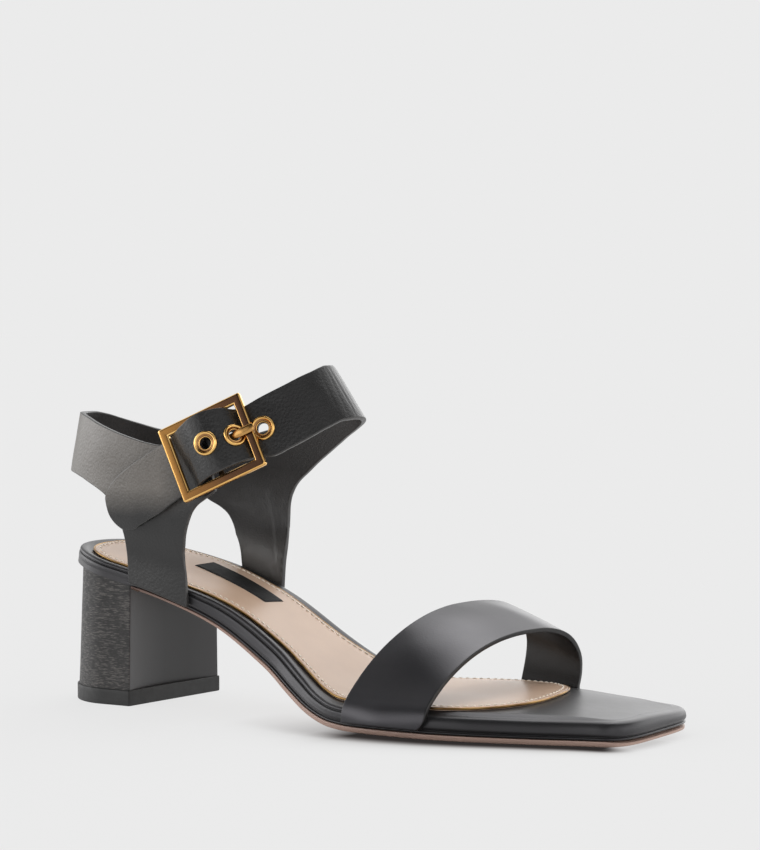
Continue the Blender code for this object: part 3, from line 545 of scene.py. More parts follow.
def along(nt, v, axis, start, end, stops):
    """Colour that changes from start to end (mm) along an axis."""
    axes = add(nt, "ShaderNodeSeparateXYZ")
    nt.links.new(v, axes.inputs[0])
    shift = SHIFT["XYZ".index(axis)]
    return ramp(nt, spread(nt, axes.outputs[axis], 0.0, 1.0, (start + shift) * MM, (end + shift) * MM), stops)


def leather(name, dark, light, rough, grain=1500.0, depth=0.00005, level=0.5, painted_sheen=None, slow=1.0, tones=None, tint=(1.0, 1.0, 1.0)):
    """Finished leather: fine pebble, pores and slow change of tone and gloss.

    painted_sheen: two paler tones that paint a sheen onto the upper back part of the straps.
    slow: share of the slow unevenness."""
    mat, nt, b = new_material(name)
    v = coords(nt)
    b.inputs["IOR"].default_value = 1.5
    b.inputs["Specular IOR Level"].default_value = level
    b.inputs["Specular Tint"].default_value = (*tint, 1.0)
    tone = noise(nt, v, 60.0, 4.0, 0.6)
    if tones is not None:
        nt.links.new(along(nt, v, *tones), b.inputs["Base Color"])
    elif painted_sheen is None:
        nt.links.new(ramp(nt, tone, [(0.3, dark), (0.72, light)]), b.inputs["Base Color"])
    else:
        # Paler tones on the upper back of the straps: a painted sheen.
        axes = add(nt, "ShaderNodeSeparateXYZ")
        nt.links.new(v, axes.inputs[0])
        back = spread(nt, axes.outputs["X"], 1.0, 0.0, (60.0 + SHIFT[0]) * MM, (76.0 + SHIFT[0]) * MM)
        high = spread(nt, axes.outputs["Z"], 0.0, 0.7, (73.0 + SHIFT[2]) * MM, (84.0 + SHIFT[2]) * MM)
        outer = spread(nt, axes.outputs["Y"], 1.0, 0.0, (-6.0 + SHIFT[1]) * MM, (14.0 + SHIFT[1]) * MM)
        both = None
        for part in (high, outer):
            times = add(nt, "ShaderNodeMath")
            times.operation = "MULTIPLY"
            nt.links.new(both.outputs[0] if both else back, times.inputs[0])
            nt.links.new(part, times.inputs[1])
            both = times
        mixed = add(nt, "ShaderNodeMath")
        mixed.operation = "MULTIPLY_ADD"
        mixed.inputs[1].default_value = 0.3
        nt.links.new(tone, mixed.inputs[0])
        nt.links.new(both.outputs[0], mixed.inputs[2])
        nt.links.new(ramp(nt, mixed.outputs[0], [(0.09, dark), (0.216, light), (0.79, painted_sheen[0]), (0.916, painted_sheen[1])]),
                     b.inputs["Base Color"])
    nt.links.new(spread(nt, noise(nt, v, 240.0, 3.0), rough - 0.04 * slow, rough + 0.05 * slow), b.inputs["Roughness"])
    cells = add(nt, "ShaderNodeTexVoronoi")
    cells.feature = "SMOOTH_F1"
    cells.inputs["Scale"].default_value = grain
    cells.inputs["Smoothness"].default_value = 0.6
    nt.links.new(v, cells.inputs["Vector"])
    bump(nt, b, [(noise(nt, v, 320.0, 3.0), 0.35, depth * 2.0 * slow),
                 (cells.outputs["Distance"], 0.5, depth),
                 (noise(nt, v, grain * 1.9, 2.0), 0.35, depth * 0.6)])
    return mat


def edge_paint(name, dark, light, rough):
    """Painted cut edge of leather, a little uneven along its run."""
    mat, nt, b = new_material(name)
    v = coords(nt)
    nt.links.new(ramp(nt, noise(nt, v, 300.0, 4.0), [(0.35, dark), (0.7, light)]), b.inputs["Base Color"])
    nt.links.new(spread(nt, noise(nt, v, 900.0, 2.0), rough - 0.05, rough + 0.08), b.inputs["Roughness"])
    bump(nt, b, [(noise(nt, v, 1200.0, 3.0), 0.3, 0.00004)])
    return mat


def gold(name, dark, light, rough):
    """Lacquered antique gold with a faint brushed grain."""
    mat, nt, b = new_material(name)
    v = coords(nt)
    b.inputs["Metallic"].default_value = 1.0
    nt.links.new(ramp(nt, noise(nt, v, 120.0, 2.0, 0.5), [(0.3, dark), (0.7, light)]), b.inputs["Base Color"])
    nt.links.new(spread(nt, noise(nt, v, 400.0, 2.0), rough - 0.02, rough + 0.03), b.inputs["Roughness"])
    bump(nt, b, [(noise(nt, v, 500.0, 2.0), 0.05, 0.00001)])
    return mat


def stacked_heel(name):
    """Dark wrap pressed like stacked leather: broken level dashes over a fine grain."""
    mat, nt, b = new_material(name)
    b.inputs["Specular IOR Level"].default_value = 0.34
    dash = noise(nt, coords(nt, (420.0, 420.0, 2900.0)), 1.0, 1.5, 0.55)
    fine = noise(nt, coords(nt, (900.0, 900.0, 3200.0)), 1.0, 3.0, 0.6)
    slow = noise(nt, coords(nt, (70.0, 70.0, 160.0)), 1.0, 3.0)
    part = add(nt, "ShaderNodeMath")
    part.operation = "MULTIPLY_ADD"
    part.inputs[1].default_value = 0.35
    nt.links.new(fine, part.inputs[0])
    nt.links.new(dash, part.inputs[2])
    both = add(nt, "ShaderNodeMath")
    both.operation = "MULTIPLY_ADD"
    both.inputs[1].default_value = 0.22
    nt.links.new(slow, both.inputs[0])
    nt.links.new(part.outputs[0], both.inputs[2])
    height = both.outputs[0]
    nt.links.new(ramp(nt, height, [(0.66, (0.018, 0.017, 0.0168)), (0.82, (0.028, 0.0262, 0.0255)), (0.95, (0.085, 0.077, 0.072))]), b.inputs["Base Color"])
    nt.links.new(spread(nt, height, 0.58, 0.4, 0.6, 0.95), b.inputs["Roughness"])
    bump(nt, b, [(height, 0.3, 0.00014)])
    return mat


def plain_satin(name, dark, light, rough, scale=400.0, depth=0.00003, tones=None):
    mat, nt, b = new_material(name)
    v = coords(nt)
    if tones is None:
        nt.links.new(ramp(nt, noise(nt, v, 70.0, 4.0), [(0.3, dark), (0.7, light)]), b.inputs["Base Color"])
    else:
        nt.links.new(along(nt, v, *tones), b.inputs["Base Color"])
    nt.links.new(spread(nt, noise(nt, v, 350.0, 3.0), rough - 0.05, rough + 0.05), b.inputs["Roughness"])
    bump(nt, b, [(noise(nt, v, scale, 3.0), 0.25, depth * 2), (noise(nt, v, scale * 5, 2.0), 0.3, depth)])
    return mat


def woven(name, dark, light, rough):
    """Close-woven tape."""
    mat, nt, b = new_material(name)
    tc = add(nt, "ShaderNodeTexCoord")
    heights = []
    for turn in (0.0, math.pi / 2):
        mp = add(nt, "ShaderNodeMapping")
        mp.inputs["Rotation"].default_value = (0, 0, math.radians(PATCH[4]) + turn)
        nt.links.new(tc.outputs["Object"], mp.inputs["Vector"])
        w = add(nt, "ShaderNodeTexWave")
        w.inputs["Scale"].default_value = 420.0
        nt.links.new(mp.outputs["Vector"], w.inputs["Vector"])
        heights.append(w.outputs["Fac"])
    m = add(nt, "ShaderNodeMath")
    m.operation = "MULTIPLY"
    nt.links.new(heights[0], m.inputs[0])
    nt.links.new(heights[1], m.inputs[1])
    nt.links.new(ramp(nt, m.outputs[0], [(0.1, dark), (0.8, light)]), b.inputs["Base Color"])
    nt.links.new(spread(nt, noise(nt, tc.outputs["Object"], 500.0), rough - 0.04, rough + 0.05), b.inputs["Roughness"])
    b.inputs["Specular IOR Level"].default_value = 0.22
    bump(nt, b, [(m.outputs[0], 0.4, 0.00008)])
    return mat


# The paler tones on the upper back of the ankle straps are a painted sheen.
UPPER = leather("upper_leather", (0.011, 0.0108, 0.0108), (0.017, 0.0165, 0.0165), 0.34, 950.0, 0.00013,
                painted_sheen=((0.108, 0.096, 0.084), (0.134, 0.12, 0.106)), slow=0.45)
SMOOTH = leather("strap_leather", (0.0105, 0.0105, 0.0118), (0.0135, 0.0134, 0.015), 0.3, 1700.0, 0.00003, slow=0.15, tint=(0.96, 0.93, 1.0))
# The leg lining grows paler toward its lower end: a painted sheen low on the legs.
LEG_LINING = leather("leg_lining", (0.0125, 0.0105, 0.0098), (0.018, 0.0155, 0.0145), 0.44, 1500.0, 0.00006,
                     tones=("Z", 38.0, 82.0, [(0.0, (0.08, 0.072, 0.065)), (0.3, (0.052, 0.046, 0.041)), (0.62, (0.017, 0.0145, 0.0135)), (1.0, (0.0145, 0.0125, 0.0118))]))
LINING = leather("lining_leather", (0.0125, 0.0105, 0.0098), (0.018, 0.0155, 0.0145), 0.44, 1500.0, 0.00006)
DARK_EDGE = edge_paint("dark_edge_paint", (0.01, 0.0097, 0.01), (0.018, 0.0175, 0.018), 0.4)
# The ankle straps' edge paint is paler than the toe strap's: partly the paint, partly a painted highlight on the
# rounded cut edges.
EDGE = edge_paint("edge_paint", (0.03, 0.0285, 0.028), (0.05, 0.048, 0.046), 0.36)
FOOTBED = leather("footbed_leather", (0.018, 0.0178, 0.0186), (0.022, 0.0217, 0.0226), 0.34, 1900.0, 0.000025, slow=0.2, tint=(0.97, 0.95, 1.0))
SOCK = leather("sock_leather", (0.612, 0.424, 0.304), (0.67, 0.477, 0.346), 0.34, 2300.0, 0.00002, slow=0.4)
FOIL = gold("sock_foil", (0.17, 0.09, 0.035), (0.5, 0.31, 0.12), 0.38)
THREAD = plain_satin("sock_thread", (0.88, 0.78, 0.66), (0.95, 0.86, 0.75), 0.6, 3000.0, 0.00002)
TAPE = woven("blank_patch", (0.003, 0.003, 0.003), (0.007, 0.007, 0.007), 0.6)
OUTSOLE = plain_satin("outsole_edge", (0.36, 0.235, 0.19), (0.44, 0.3, 0.245), 0.5, 500.0, 0.00004,
                      tones=("X", 20.0, 240.0, [(0.0, (0.1, 0.062, 0.05)), (0.12, (0.17, 0.105, 0.085)), (0.3, (0.36, 0.235, 0.19)), (1.0, (0.44, 0.3, 0.245))]))
TREAD = plain_satin("outsole_tread", (0.36, 0.25, 0.19), (0.46, 0.34, 0.26), 0.62, 900.0, 0.00006)
WRAP = stacked_heel("heel_wrap")
# The breast is paler toward both sides than in its middle: a painted reflection.
BREAST = leather("heel_breast", (0.013, 0.0125, 0.013), (0.018, 0.0175, 0.018), 0.3, 2100.0, 0.00003, slow=0.3,
                 tones=("Y", -27.0, 27.0, [(0.0, (0.052, 0.05, 0.052)), (0.2, (0.03, 0.029, 0.03)), (0.45, (0.013, 0.0125, 0.013)), (0.7, (0.016, 0.0155, 0.016)), (1.0, (0.032, 0.031, 0.032))]))
RUBBER = plain_satin("lift_rubber", (0.006, 0.006, 0.006), (0.01, 0.0098, 0.0098), 0.55, 700.0, 0.00005)
# Bright gold on bevels and rims is a painted highlight and brown gold in the eyelets' hollows is painted shade: lit and
# shaded copies of one gold.
GOLD_HIGHLIGHT = gold("gold_painted_highlight", (0.8, 0.46, 0.14), (0.95, 0.6, 0.22), 0.17)
GOLD_SHADE = gold("gold_painted_shade", (0.3, 0.155, 0.065), (0.4, 0.21, 0.085), 0.26)
# The pin's near-black bronze is painted shade.
GOLD_PIN_SHADE = gold("pin_bronze_painted_shade", (0.05, 0.028, 0.014), (0.07, 0.04, 0.02), 0.34)
GOLD_MID = gold("prong_gold", (0.5, 0.27, 0.09), (0.62, 0.35, 0.12), 0.2)


# ------------------------------------------------------------------ sole
def make_outsole():
    stops = stations(None, (TOE_END[0], TOE_END[1] - 0.4), 0, 230, 60, 4.0)
    rings = []
    for inset, level in ((4.0, 0.0), (1.3, 0.0), (0.85, 0.02), (0.6, 0.1), (0.45, 0.25), (0.38, 0.45), (0.34, 0.7), (0.32, 0.92), (0.42, 1.0), (3.4, 1.0)):
        p = plan(stops, inset)
        rings.append(on_sole(p, level * outsole_t(p[:, 0]) * (1 - 0.42 * step(240, 249, p[:, 0]))))
    n = len(rings[0])
    verts = np.concatenate(rings)
    faces = [tuple(f) for f in loft(rings)]
    mat = [1] * n * 2 + [0] * (len(faces) - 2 * n)
    for start, ring in ((0, rings[0]), ((len(rings) - 1) * n, rings[-1])):
        pts, more = ladder(ring, start, len(verts), 12, lambda p: p)
        verts = np.concatenate([verts, pts])
        faces += more
        mat += [1] * len(more)
    return put("outsole_skin", verts, faces, [OUTSOLE, TREAD], mat, ["outsole"], 50)


def footbed_h(p, low, high, extra):
    base = outsole_t(p[:, 0]) + GAP * step(36, 44, p[:, 0])
    h = lerp(base, rim_height(p[:, 0], p[:, 1]), lerp(low, high, step(138, 178, p[:, 0])))
    if low < 1:
        return h + extra
    return lerp(h, top_height(p[:, 0], p[:, 1]), extra)


def make_footbed():
    stops = stations(HEEL_END, TOE_END, 50, 220, 56, 4.0)
    rough_rings = []
    for inset, low, fore, high, extra in FOOTBED_PROFILE:
        p = plan(stops, inset, fore)
        if low == 0 and inset < 3:
            p = lerp(plan(stops, 0.1), p, step(36, 47, p[:, 0])[:, None])
        rough_rings.append(on_sole(p, footbed_h(p, low, high, extra)))
    rings = [rough_rings[0]] + blend_rings(rough_rings[1:], 0.5)
    n = len(rings[0])
    verts = np.concatenate(rings)
    faces = [tuple(f) for f in loft(rings)]

    def top(p):
        x = station_of(p)
        out = on_sole(np.stack([x, p[:, 1]], axis=1), top_height(x, p[:, 1]))
        out[:, 2] += 0.02 * ripple(out, 30.0, 3) * step(150, 205, x)
        return out
    for start, ring, across, shape in ((0, rings[0], 10, lambda p: p), ((len(rings) - 1) * n, rings[-1], 56, top)):
        pts, more = ladder(ring, start, len(verts), across, shape)
        verts = np.concatenate([verts, pts])
        faces += more
    ob = put("footbed_cover", verts, faces, [FOOTBED], None, ["footbed"], 60)
    return ob


def sock_outline(extra, n_heel=60, n_mid=220, n_toe=70):
    heel = (HEEL_END[0], HEEL_END[1] + SOCK_INSET[0])
    stops = stations(heel, SOCK_TOE, n_heel, n_mid, n_toe, 2.8)
    x, f = stops[:, 0], stops[:, 1]
    inset = lerp(*SOCK_INSET, step(120, 170, x))
    near = np.stack([x, -(outer_half(x) - inset) * f], axis=1)
    far = np.stack([x, (inner_half(x) - inset) * f], axis=1)
    return offset(np.concatenate([near, far[::-1]]), extra)


def on_top(p, h):
    return on_sole(p, top_height(p[:, 0], p[:, 1]) + h)


def make_sock():
    t = GAP + SOCK_T
    rings = []
    for inset, h in ((0.6, 0.06), (0.0, 0.1), (-0.02, 0.55), (0.1, t - 0.16), (0.35, t - 0.03), (0.7, t),
                     (1.3, t), (1.62, t - 0.02), (1.85, t - 0.08), (2.05, t - 0.08), (2.3, t - 0.02), (2.7, t), (4.0, t)):
        p = sock_outline(inset)
        rings.append(on_top(p, h))
    n = len(rings[0])
    verts = np.concatenate(rings)
    faces = [tuple(f) for f in loft(rings)]

    def top(p):
        x = station_of(p)
        out = on_sole(np.stack([x, p[:, 1]], axis=1), top_height(x, p[:, 1]) + t)
        out[:, 2] += 0.06 * ripple(out, 30.0, 8)
        return out
    for start, ring, across, shape in ((0, rings[0], 8, lambda p: p), ((len(rings) - 1) * n, rings[-1], 52, top)):
        pts, more = ladder(ring, start, len(verts), across, shape)
        verts = np.concatenate([verts, pts])
        faces += more
    return put("sock_lining", verts, faces, [SOCK], None, ["insole_sock"], 60)


def tube(path, half_w, half_h, up, sides=10, closed=True):
    """Points and faces of a tube along a path, with an elliptic section."""
    t = np.roll(path, -1, axis=0) - np.roll(path, 1, axis=0)
    if not closed:
        t[0], t[-1] = path[1] - path[0], path[-1] - path[-2]
    t = unit(t)
    w = unit(np.cross(t, up))
    u = unit(np.cross(w, t))
    hw = np.broadcast_to(half_w, (len(path),))[:, None]
    hh = np.broadcast_to(half_h, (len(path),))[:, None]
    rings = []
    for k in range(sides):
        a = 2 * math.pi * k / sides
        rings.append(path + w * hw * math.cos(a) + u * hh * math.sin(a))
    return np.stack(rings, axis=1)


def make_foil():
    p = sock_outline(-0.2)
    path = on_top(p, 0.74)
    around = tube(path, 0.36, 0.46, np.array([0.0, 0.0, 1.0]), 10)
    n, s = around.shape[:2]
    verts = around.reshape(-1, 3)
    i = np.arange(n)
    faces = []
    for k in range(s):
        a, b = k, (k + 1) % s
        faces += [tuple(f) for f in np.stack([i * s + a, (i + 1) % n * s + a, (i + 1) % n * s + b, i * s + b], axis=1)]
    return put("sock_gold_edge", verts, faces, [FOIL], None, ())


def make_stitches():
    p = sock_outline(1.95)
    path = on_top(p, GAP + SOCK_T - 0.02)
    loop = np.concatenate([path, path[:1]])
    run = np.concatenate([[0], np.cumsum(np.linalg.norm(np.diff(loop, axis=0), axis=1))])
    pitch, length = 2.7, 2.05
    count = int(run[-1] / pitch)
    verts, faces = [], []
    sides, rows = 6, 6
    for k in range(count):
        s0 = run[-1] * k / count
        s = s0 + np.linspace(0, length, rows)
        line = np.stack([np.interp(s, run, loop[:, c]) for c in range(3)], axis=1)
        arch = np.sin(np.linspace(0, math.pi, rows))
        line[:, 2] += 0.24 * arch - 0.08
        thick = 0.12 + 0.19 * np.sqrt(arch)
        around = tube(line, thick, thick * 0.9, np.array([0.0, 0.0, 1.0]), sides, closed=False)
        start = len(verts)
        verts += [tuple(v) for v in around.reshape(-1, 3)]
        for r in range(rows - 1):
            for c in range(sides):
                d = (c + 1) % sides
                faces.append((start + r * sides + c, start + (r + 1) * sides + c, start + (r + 1) * sides + d, start + r * sides + d))
        faces.append(tuple(start + c for c in range(sides)))
        faces.append(tuple(start + (rows - 1) * sides + c for c in range(sides))[::-1])
    return put("sock_stitches", verts, faces, [THREAD], None, ())


def make_patch():
    """Bare woven patch on the sock, with a turned edge."""
    cx, cy, length, width, turn = PATCH
    c, s = math.cos(math.radians(turn)), math.sin(math.radians(turn))
    nu, nv = 81, 25
    u = np.linspace(-0.5, 0.5, nu) * length
    v = np.linspace(-0.5, 0.5, nv) * width
    uu, vv = np.meshgrid(u, v, indexing="ij")
    xy = np.stack([cx + uu * c - vv * s, cy + uu * s + vv * c], axis=-1).reshape(-1, 2)
    edge = np.minimum(length / 2 - np.abs(uu), width / 2 - np.abs(vv)).reshape(-1)
    base = GAP + SOCK_T
    upper = on_top(xy, base + 0.04 + 0.34 * np.clip(edge / 0.5, 0, 1) ** 0.5)
    lower = on_top(xy, np.full(len(xy), base - 0.05))
    verts = np.concatenate([upper, lower])
    faces = []
    off = nu * nv
    idx = np.arange(off).reshape(nu, nv)
    a, b, d, e = idx[:-1, :-1].ravel(), idx[1:, :-1].ravel(), idx[1:, 1:].ravel(), idx[:-1, 1:].ravel()
    faces += [tuple(f) for f in np.stack([a, b, d, e], axis=1)]
    faces += [tuple(f) for f in np.stack([a, e, d, b], axis=1) + off]
    rim = list(idx[:, 0]) + list(idx[-1, 1:]) + list(idx[-2::-1, -1]) + list(idx[0, -2:0:-1])
    faces += [(rim[k], rim[k] + off, rim[(k + 1) % len(rim)] + off, rim[(k + 1) % len(rim)]) for k in range(len(rim))]
    return put("sock_patch", verts, faces, [TAPE], None, (), 40)


# ------------------------------------------------------------------ heel
def make_heel():
    levels = 46
    rings, marks = [], None
    for k in range(levels + 1):
        t = k / levels
        p, marks = heel_outline(t, scoop=2.4)
        top = under_z(p[:, 0]) + OUTSOLE_REAR
        z = lerp(LIFT_H + 0.02, top - 0.02, t)
        ring = np.stack([p[:, 0], p[:, 1], z], axis=1)
        ring[:, :2] += (0.05 * ripple(ring, 14.0, 5))[:, None] * unit(p - np.array([22.0, 0.0])) * (marks == 0)[:, None]
        rings.append(ring)
    n = len(rings[0])
    verts = np.concatenate(rings)
    faces = [tuple(f) for f in loft(rings)]
    both = (marks + np.roll(marks, -1)) == 2
    mat = list(np.tile(both.astype(int), levels))
    for start, ring in ((0, rings[0]), ((len(rings) - 1) * n, rings[-1])):
        mid = len(verts)
        verts = np.concatenate([verts, ring.mean(axis=0)[None]])
        more = [(start + i, start + (i + 1) % n, mid) for i in range(n)]
        faces += more
        mat += [1] * len(more)
    return put("heel_cover", verts, faces, [WRAP, BREAST], mat, ["heel_block"], 45)


def make_lift():
    rings = []
    for proud, z in ((-1.5, 0.0), (0.3, 0.0), (0.52, 0.06), (0.66, 0.2), (0.72, 0.45), (0.72, 2.0), (0.72, 4.4),
                     (0.72, 5.66), (0.66, 5.85), (0.5, LIFT_H - 0.02), (-2.0, LIFT_H - 0.02)):
        p, _ = heel_outline(0.0, proud, 0.45)
        rings.append(np.stack([p[:, 0], p[:, 1], np.full(len(p), z)], axis=1))
    n = len(rings[0])
    verts = np.concatenate(rings)
    faces = [tuple(f) for f in loft(rings)]
    for start, ring in ((0, rings[0]), ((len(rings) - 1) * n, rings[-1])):
        mid = len(verts)
        verts = np.concatenate([verts, ring.mean(axis=0)[None]])
        faces += [(start + i, start + (i + 1) % n, mid) for i in range(n)]
    return put("heel_top_piece", verts, faces, [RUBBER], None, ["heel_lift"], 45)


# ------------------------------------------------------------------ straps
def sheet(name, grid, thickness, replaces, toward, bulge=0.32, swell=None, under=0.0, skin=None, rim_paint=None, lining=None):
    """Leather sheet with a finished face, painted edges and a lining.

    toward: points that lie on the finished side, one per row, to orient it.
    under: extra thickness on the lining's side."""
    g = np.array(grid, float)
    ni, nj = g.shape[:2]
    nrm = unit(np.cross(np.gradient(g, axis=0), np.gradient(g, axis=1)))
    if np.mean(np.sum(nrm * (toward - g), axis=2)) < 0:
        nrm = -nrm
    if swell is not None:
        g = g + nrm * swell(g)[..., None]
    half = thickness / 2
    face, back = g + half * nrm, g - (half + np.broadcast_to(under, (ni, nj))[..., None]) * nrm
    idx = np.arange(ni * nj).reshape(ni, nj)
    a, b, d, e = idx[:-1, :-1].ravel(), idx[1:, :-1].ravel(), idx[1:, 1:].ravel(), idx[:-1, 1:].ravel()
    quads = np.stack([a, b, d, e], axis=1)
    off = ni * nj
    verts = [face.reshape(-1, 3), back.reshape(-1, 3)]
    faces = [quads, quads[:, ::-1] + off]
    mats = [np.zeros(len(quads), int), np.full(len(quads), 2)]
    rim = [(i, 0) for i in range(ni)] + [(ni - 1, j) for j in range(1, nj)]
    rim += [(i, nj - 1) for i in range(ni - 2, -1, -1)] + [(0, j) for j in range(nj - 2, 0, -1)]
    inside = {}
    for i, j in rim:
        inside[(i, j)] = (min(max(i, 1), ni - 2), min(max(j, 1), nj - 2))
    p = np.array([g[q] for q in rim])
    n = np.array([nrm[q] for q in rim])
    inner = np.array([g[inside[q]] for q in rim])
    t = unit(np.roll(p, -1, axis=0) - np.roll(p, 1, axis=0))
    out = unit(np.cross(t, n))
    out *= np.sign(np.sum(out * (p - inner), axis=1, keepdims=True))
    ring_ids = [np.array([idx[q] for q in rim])]
    total = 2 * off
    steps = 7
    for k in range(1, steps):
        phi = math.pi * k / steps
        c, s = math.cos(phi), math.sin(phi)
        c = math.copysign(abs(c) ** 0.62, c)
        verts.append(p + n * half * c + out * bulge * s ** 0.62)
        ring_ids.append(total + np.arange(len(rim)))
        total += len(rim)
    ring_ids.append(ring_ids[0] + off)
    for r, q in zip(ring_ids, ring_ids[1:]):
        strip = np.stack([r, np.roll(r, -1), np.roll(q, -1), q], axis=1)
        faces.append(strip)
        mats.append(np.ones(len(strip), int))
    return put(name, np.concatenate(verts), np.concatenate(faces), [skin or UPPER, rim_paint or EDGE, lining or LINING],
               np.concatenate(mats), replaces, 75)


def wall_y(x, side, clear):
    if side < 0:
        return -(np.maximum(outer_half(x), outer_half(x - 2.8)) + clear)
    return np.maximum(inner_half(x), inner_half(x - 2.8)) + clear


def wall_foot(x):
    return under_z(x) + outsole_t(x) + 1.7


def wall_rim(x):
    return under_z(x) + rim_height(x) * sole_normal(x)[1]


def last_point(angle, z, stand_off):
    t = np.radians(angle)
    c, s = np.cos(t), np.sin(t)
    a = np.where(c >= 0, LAST_FRONT[0] + LAST_FRONT[2] * (z - LAST_FRONT[1]) - LAST_MID[0],
                 LAST_MID[0] - (LAST_BACK[0] + LAST_BACK[2] * (z - LAST_BACK[1])))
    b = last_half(z)
    nx, ny = c / a, s / b
    k = np.hypot(nx, ny)
    return LAST_MID[0] + a * c + stand_off * nx / k, LAST_MID[1] + b * s + stand_off * ny / k


band_lift = smooth_table(BAND_LIFT, 1, 0.55)
band_upper = smooth_table(BAND_UPPER)


def foot_of(angle):
    z = np.full(np.shape(angle), 45.0)
    for _ in range(14):
        x, _y = last_point(angle, z, 0.0)
        z = wall_foot(x)
    return z


LOWER_SOLID = [(a, float(foot_of(np.array(a))) if z == SOLE else z) for a, z in BAND_LOWER]
band_lower = smooth_table(LOWER_SOLID)
ON_SOLE = [(BAND_LOWER[i][0], BAND_LOWER[i + 1][0]) for i in range(len(BAND_LOWER) - 1)
           if BAND_LOWER[i][1] == SOLE and BAND_LOWER[i + 1][1] == SOLE]


def lower_edge(angle):
    z = band_lower(angle)
    for a, b in ON_SOLE:
        z = np.where((angle <= a) & (angle >= b), foot_of(angle), z)
    return z


def band_points(angle, t):
    """Middle of the band's leather at angles and shares of its width."""
    low, high = lower_edge(angle), band_upper(angle)
    z = lerp(low, high, t)
    tilt = BAND_TILT * (1 - step(-50, -42, angle))
    x, y = last_point(angle, z, band_lift(angle + tilt * (t - 0.5) * (high - low)))
    near = np.minimum(step(33, 38, x), 1 - step(78, 84, x))
    w = 1 - (1 - step(wall_rim(x) - 1.0, wall_rim(x) + 24.0, z)) * near
    clear = GAP + STRAP_T / 2 + 0.15
    wall = np.where(y < 0, wall_y(x, -1, clear), wall_y(x, 1, clear))
    return np.stack([x, lerp(wall, y, w), z], axis=-1)


def band_frame(angle, t=0.5):
    at = lambda a, k: band_points(np.array([a]), np.array([k]))[0]
    p = at(angle, t)
    run = unit(at(angle + 0.6, t) - at(angle - 0.6, t))
    up = unit(at(angle, t + 0.08) - at(angle, t - 0.08))
    out = unit(np.cross(up, run))
    if out @ (p - np.array([LAST_MID[0], LAST_MID[1], p[2]])) < 0:
        out = -out
    run = unit(run - out * (run @ out))
    return p, run, np.cross(out, run), out


def cut(ob, cutters):
    """Takes round holes out of a piece; cutters are (start, end, radius) in mm."""
    tools = []
    for start, end, radius in cutters:
        a, b = (np.array(v) + SHIFT for v in (start, end))
        bpy.ops.mesh.primitive_cylinder_add(vertices=48, radius=radius * MM, depth=float(np.linalg.norm(b - a)) * MM)
        tool = bpy.context.object
        turn = Vector(b - a).to_track_quat("Z", "Y").to_matrix().to_4x4()
        tool.data.transform(Matrix.Translation(Vector((a + b) / 2) * MM) @ turn)
        tool.data.materials.append(EDGE)
        mod = ob.modifiers.new("hole", "BOOLEAN")
        mod.operation = "DIFFERENCE"
        mod.solver = "EXACT"
        mod.material_mode = "TRANSFER"
        mod.object = tool
        tools.append(tool)
    bpy.context.view_layer.update()
    deps = bpy.context.evaluated_depsgraph_get()
    me = bpy.data.meshes.new_from_object(ob.evaluated_get(deps))
    ob.modifiers.clear()
    old = ob.data
    ob.data = me
    bpy.data.meshes.remove(old)
    me.name = ob.name
    me.polygons.foreach_set("use_smooth", np.ones(len(me.polygons), bool))
    me.set_sharp_from_angle(angle=math.radians(60))
    for tool in tools:
        bpy.data.objects.remove(tool)


def make_upper():
    fine = np.arange(290.0, -106.4, -0.03)
    fine = np.append(fine, -106.4)
    low = band_points(fine, np.zeros(len(fine)))
    high = band_points(fine, np.ones(len(fine)))
    stride = np.maximum(np.linalg.norm(np.diff(low, axis=0), axis=1), np.linalg.norm(np.diff(high, axis=0), axis=1))
    mid = (fine[1:] + fine[:-1]) / 2
    stride *= 1 + 1.1 * ((mid > 75) & (mid < 89)) + 0.9 * ((mid > -24) & (mid < 10))
    run = np.concatenate([[0], np.cumsum(stride)])
    stops = np.linspace(0, run[-1], int(run[-1] / 0.85))
    angles = np.interp(stops, run, fine)
    t = np.concatenate([[0, 0.012, 0.03], np.linspace(0.06, 0.94, 27), [0.97, 0.988, 1]])
    aa, tt = np.meshgrid(angles, t, indexing="ij")
    grid = band_points(aa, tt)
    c = np.stack([np.cos(np.radians(aa)), np.sin(np.radians(aa)), np.zeros_like(aa)], axis=-1)
    far = grid[..., 1] > 0
    seam = np.interp(grid[..., 2], [36.0, 47.4, 58.9, 68.5, 76.0, 90.0], [78.6, 79.0, 79.9, 81.0, 82.2, 86.0])
    strip = far * step(0.35, -0.35, aa - seam) * (1 - step(74.0, 84.0, grid[..., 2])) * (aa > 70)
    leg = far * (aa > 70) * (aa < 95) * (1 - step(50.0, 60.0, grid[..., 2]))
    under = 0.1 * strip + 0.1 * leg * np.sin(grid[..., 2] * 1.9 + 1.3 * np.sin(aa * 1.1) + aa * 0.5)
    across = np.sin(math.pi * np.clip(tt * 0.94 + 0.03, 0, 1)) ** 0.5
    crease = np.zeros_like(aa)
    for at, deep, wide, lean in ((-13.0, 0.07, 1.2, 5.0), (-6.2, 0.1, 1.0, 6.0), (-0.5, 0.13, 1.1, 2.0),
                                 (4.6, 0.08, 0.9, 4.0)):
        crease -= deep * np.exp(-((aa - at - lean * (tt - 0.5)) / wide) ** 2) * across
    bar = -72.8
    dip = 0.75 * np.where(aa > bar, np.clip((-66.0 - aa) / 6.8, 0, 1) ** 2, 1 - step(0.0, 7.0, bar - aa))
    crease -= dip * (aa < 0)
    ob = sheet("ankle_leather", grid, STRAP_T, ["ankle_upper"], grid + c * 20.0,
               swell=lambda p: 0.06 * ripple(p, 17.0, 21) + crease, under=under, lining=LEG_LINING)
    holes = []
    for name, angle in EYELET_ANGLES:
        p, run_d, width, out = band_frame(angle)
        holes.append((p - out * 3.0, p + out * 3.0, EYELET_HOLE + 0.05))
    cut(ob, holes)
    return ob


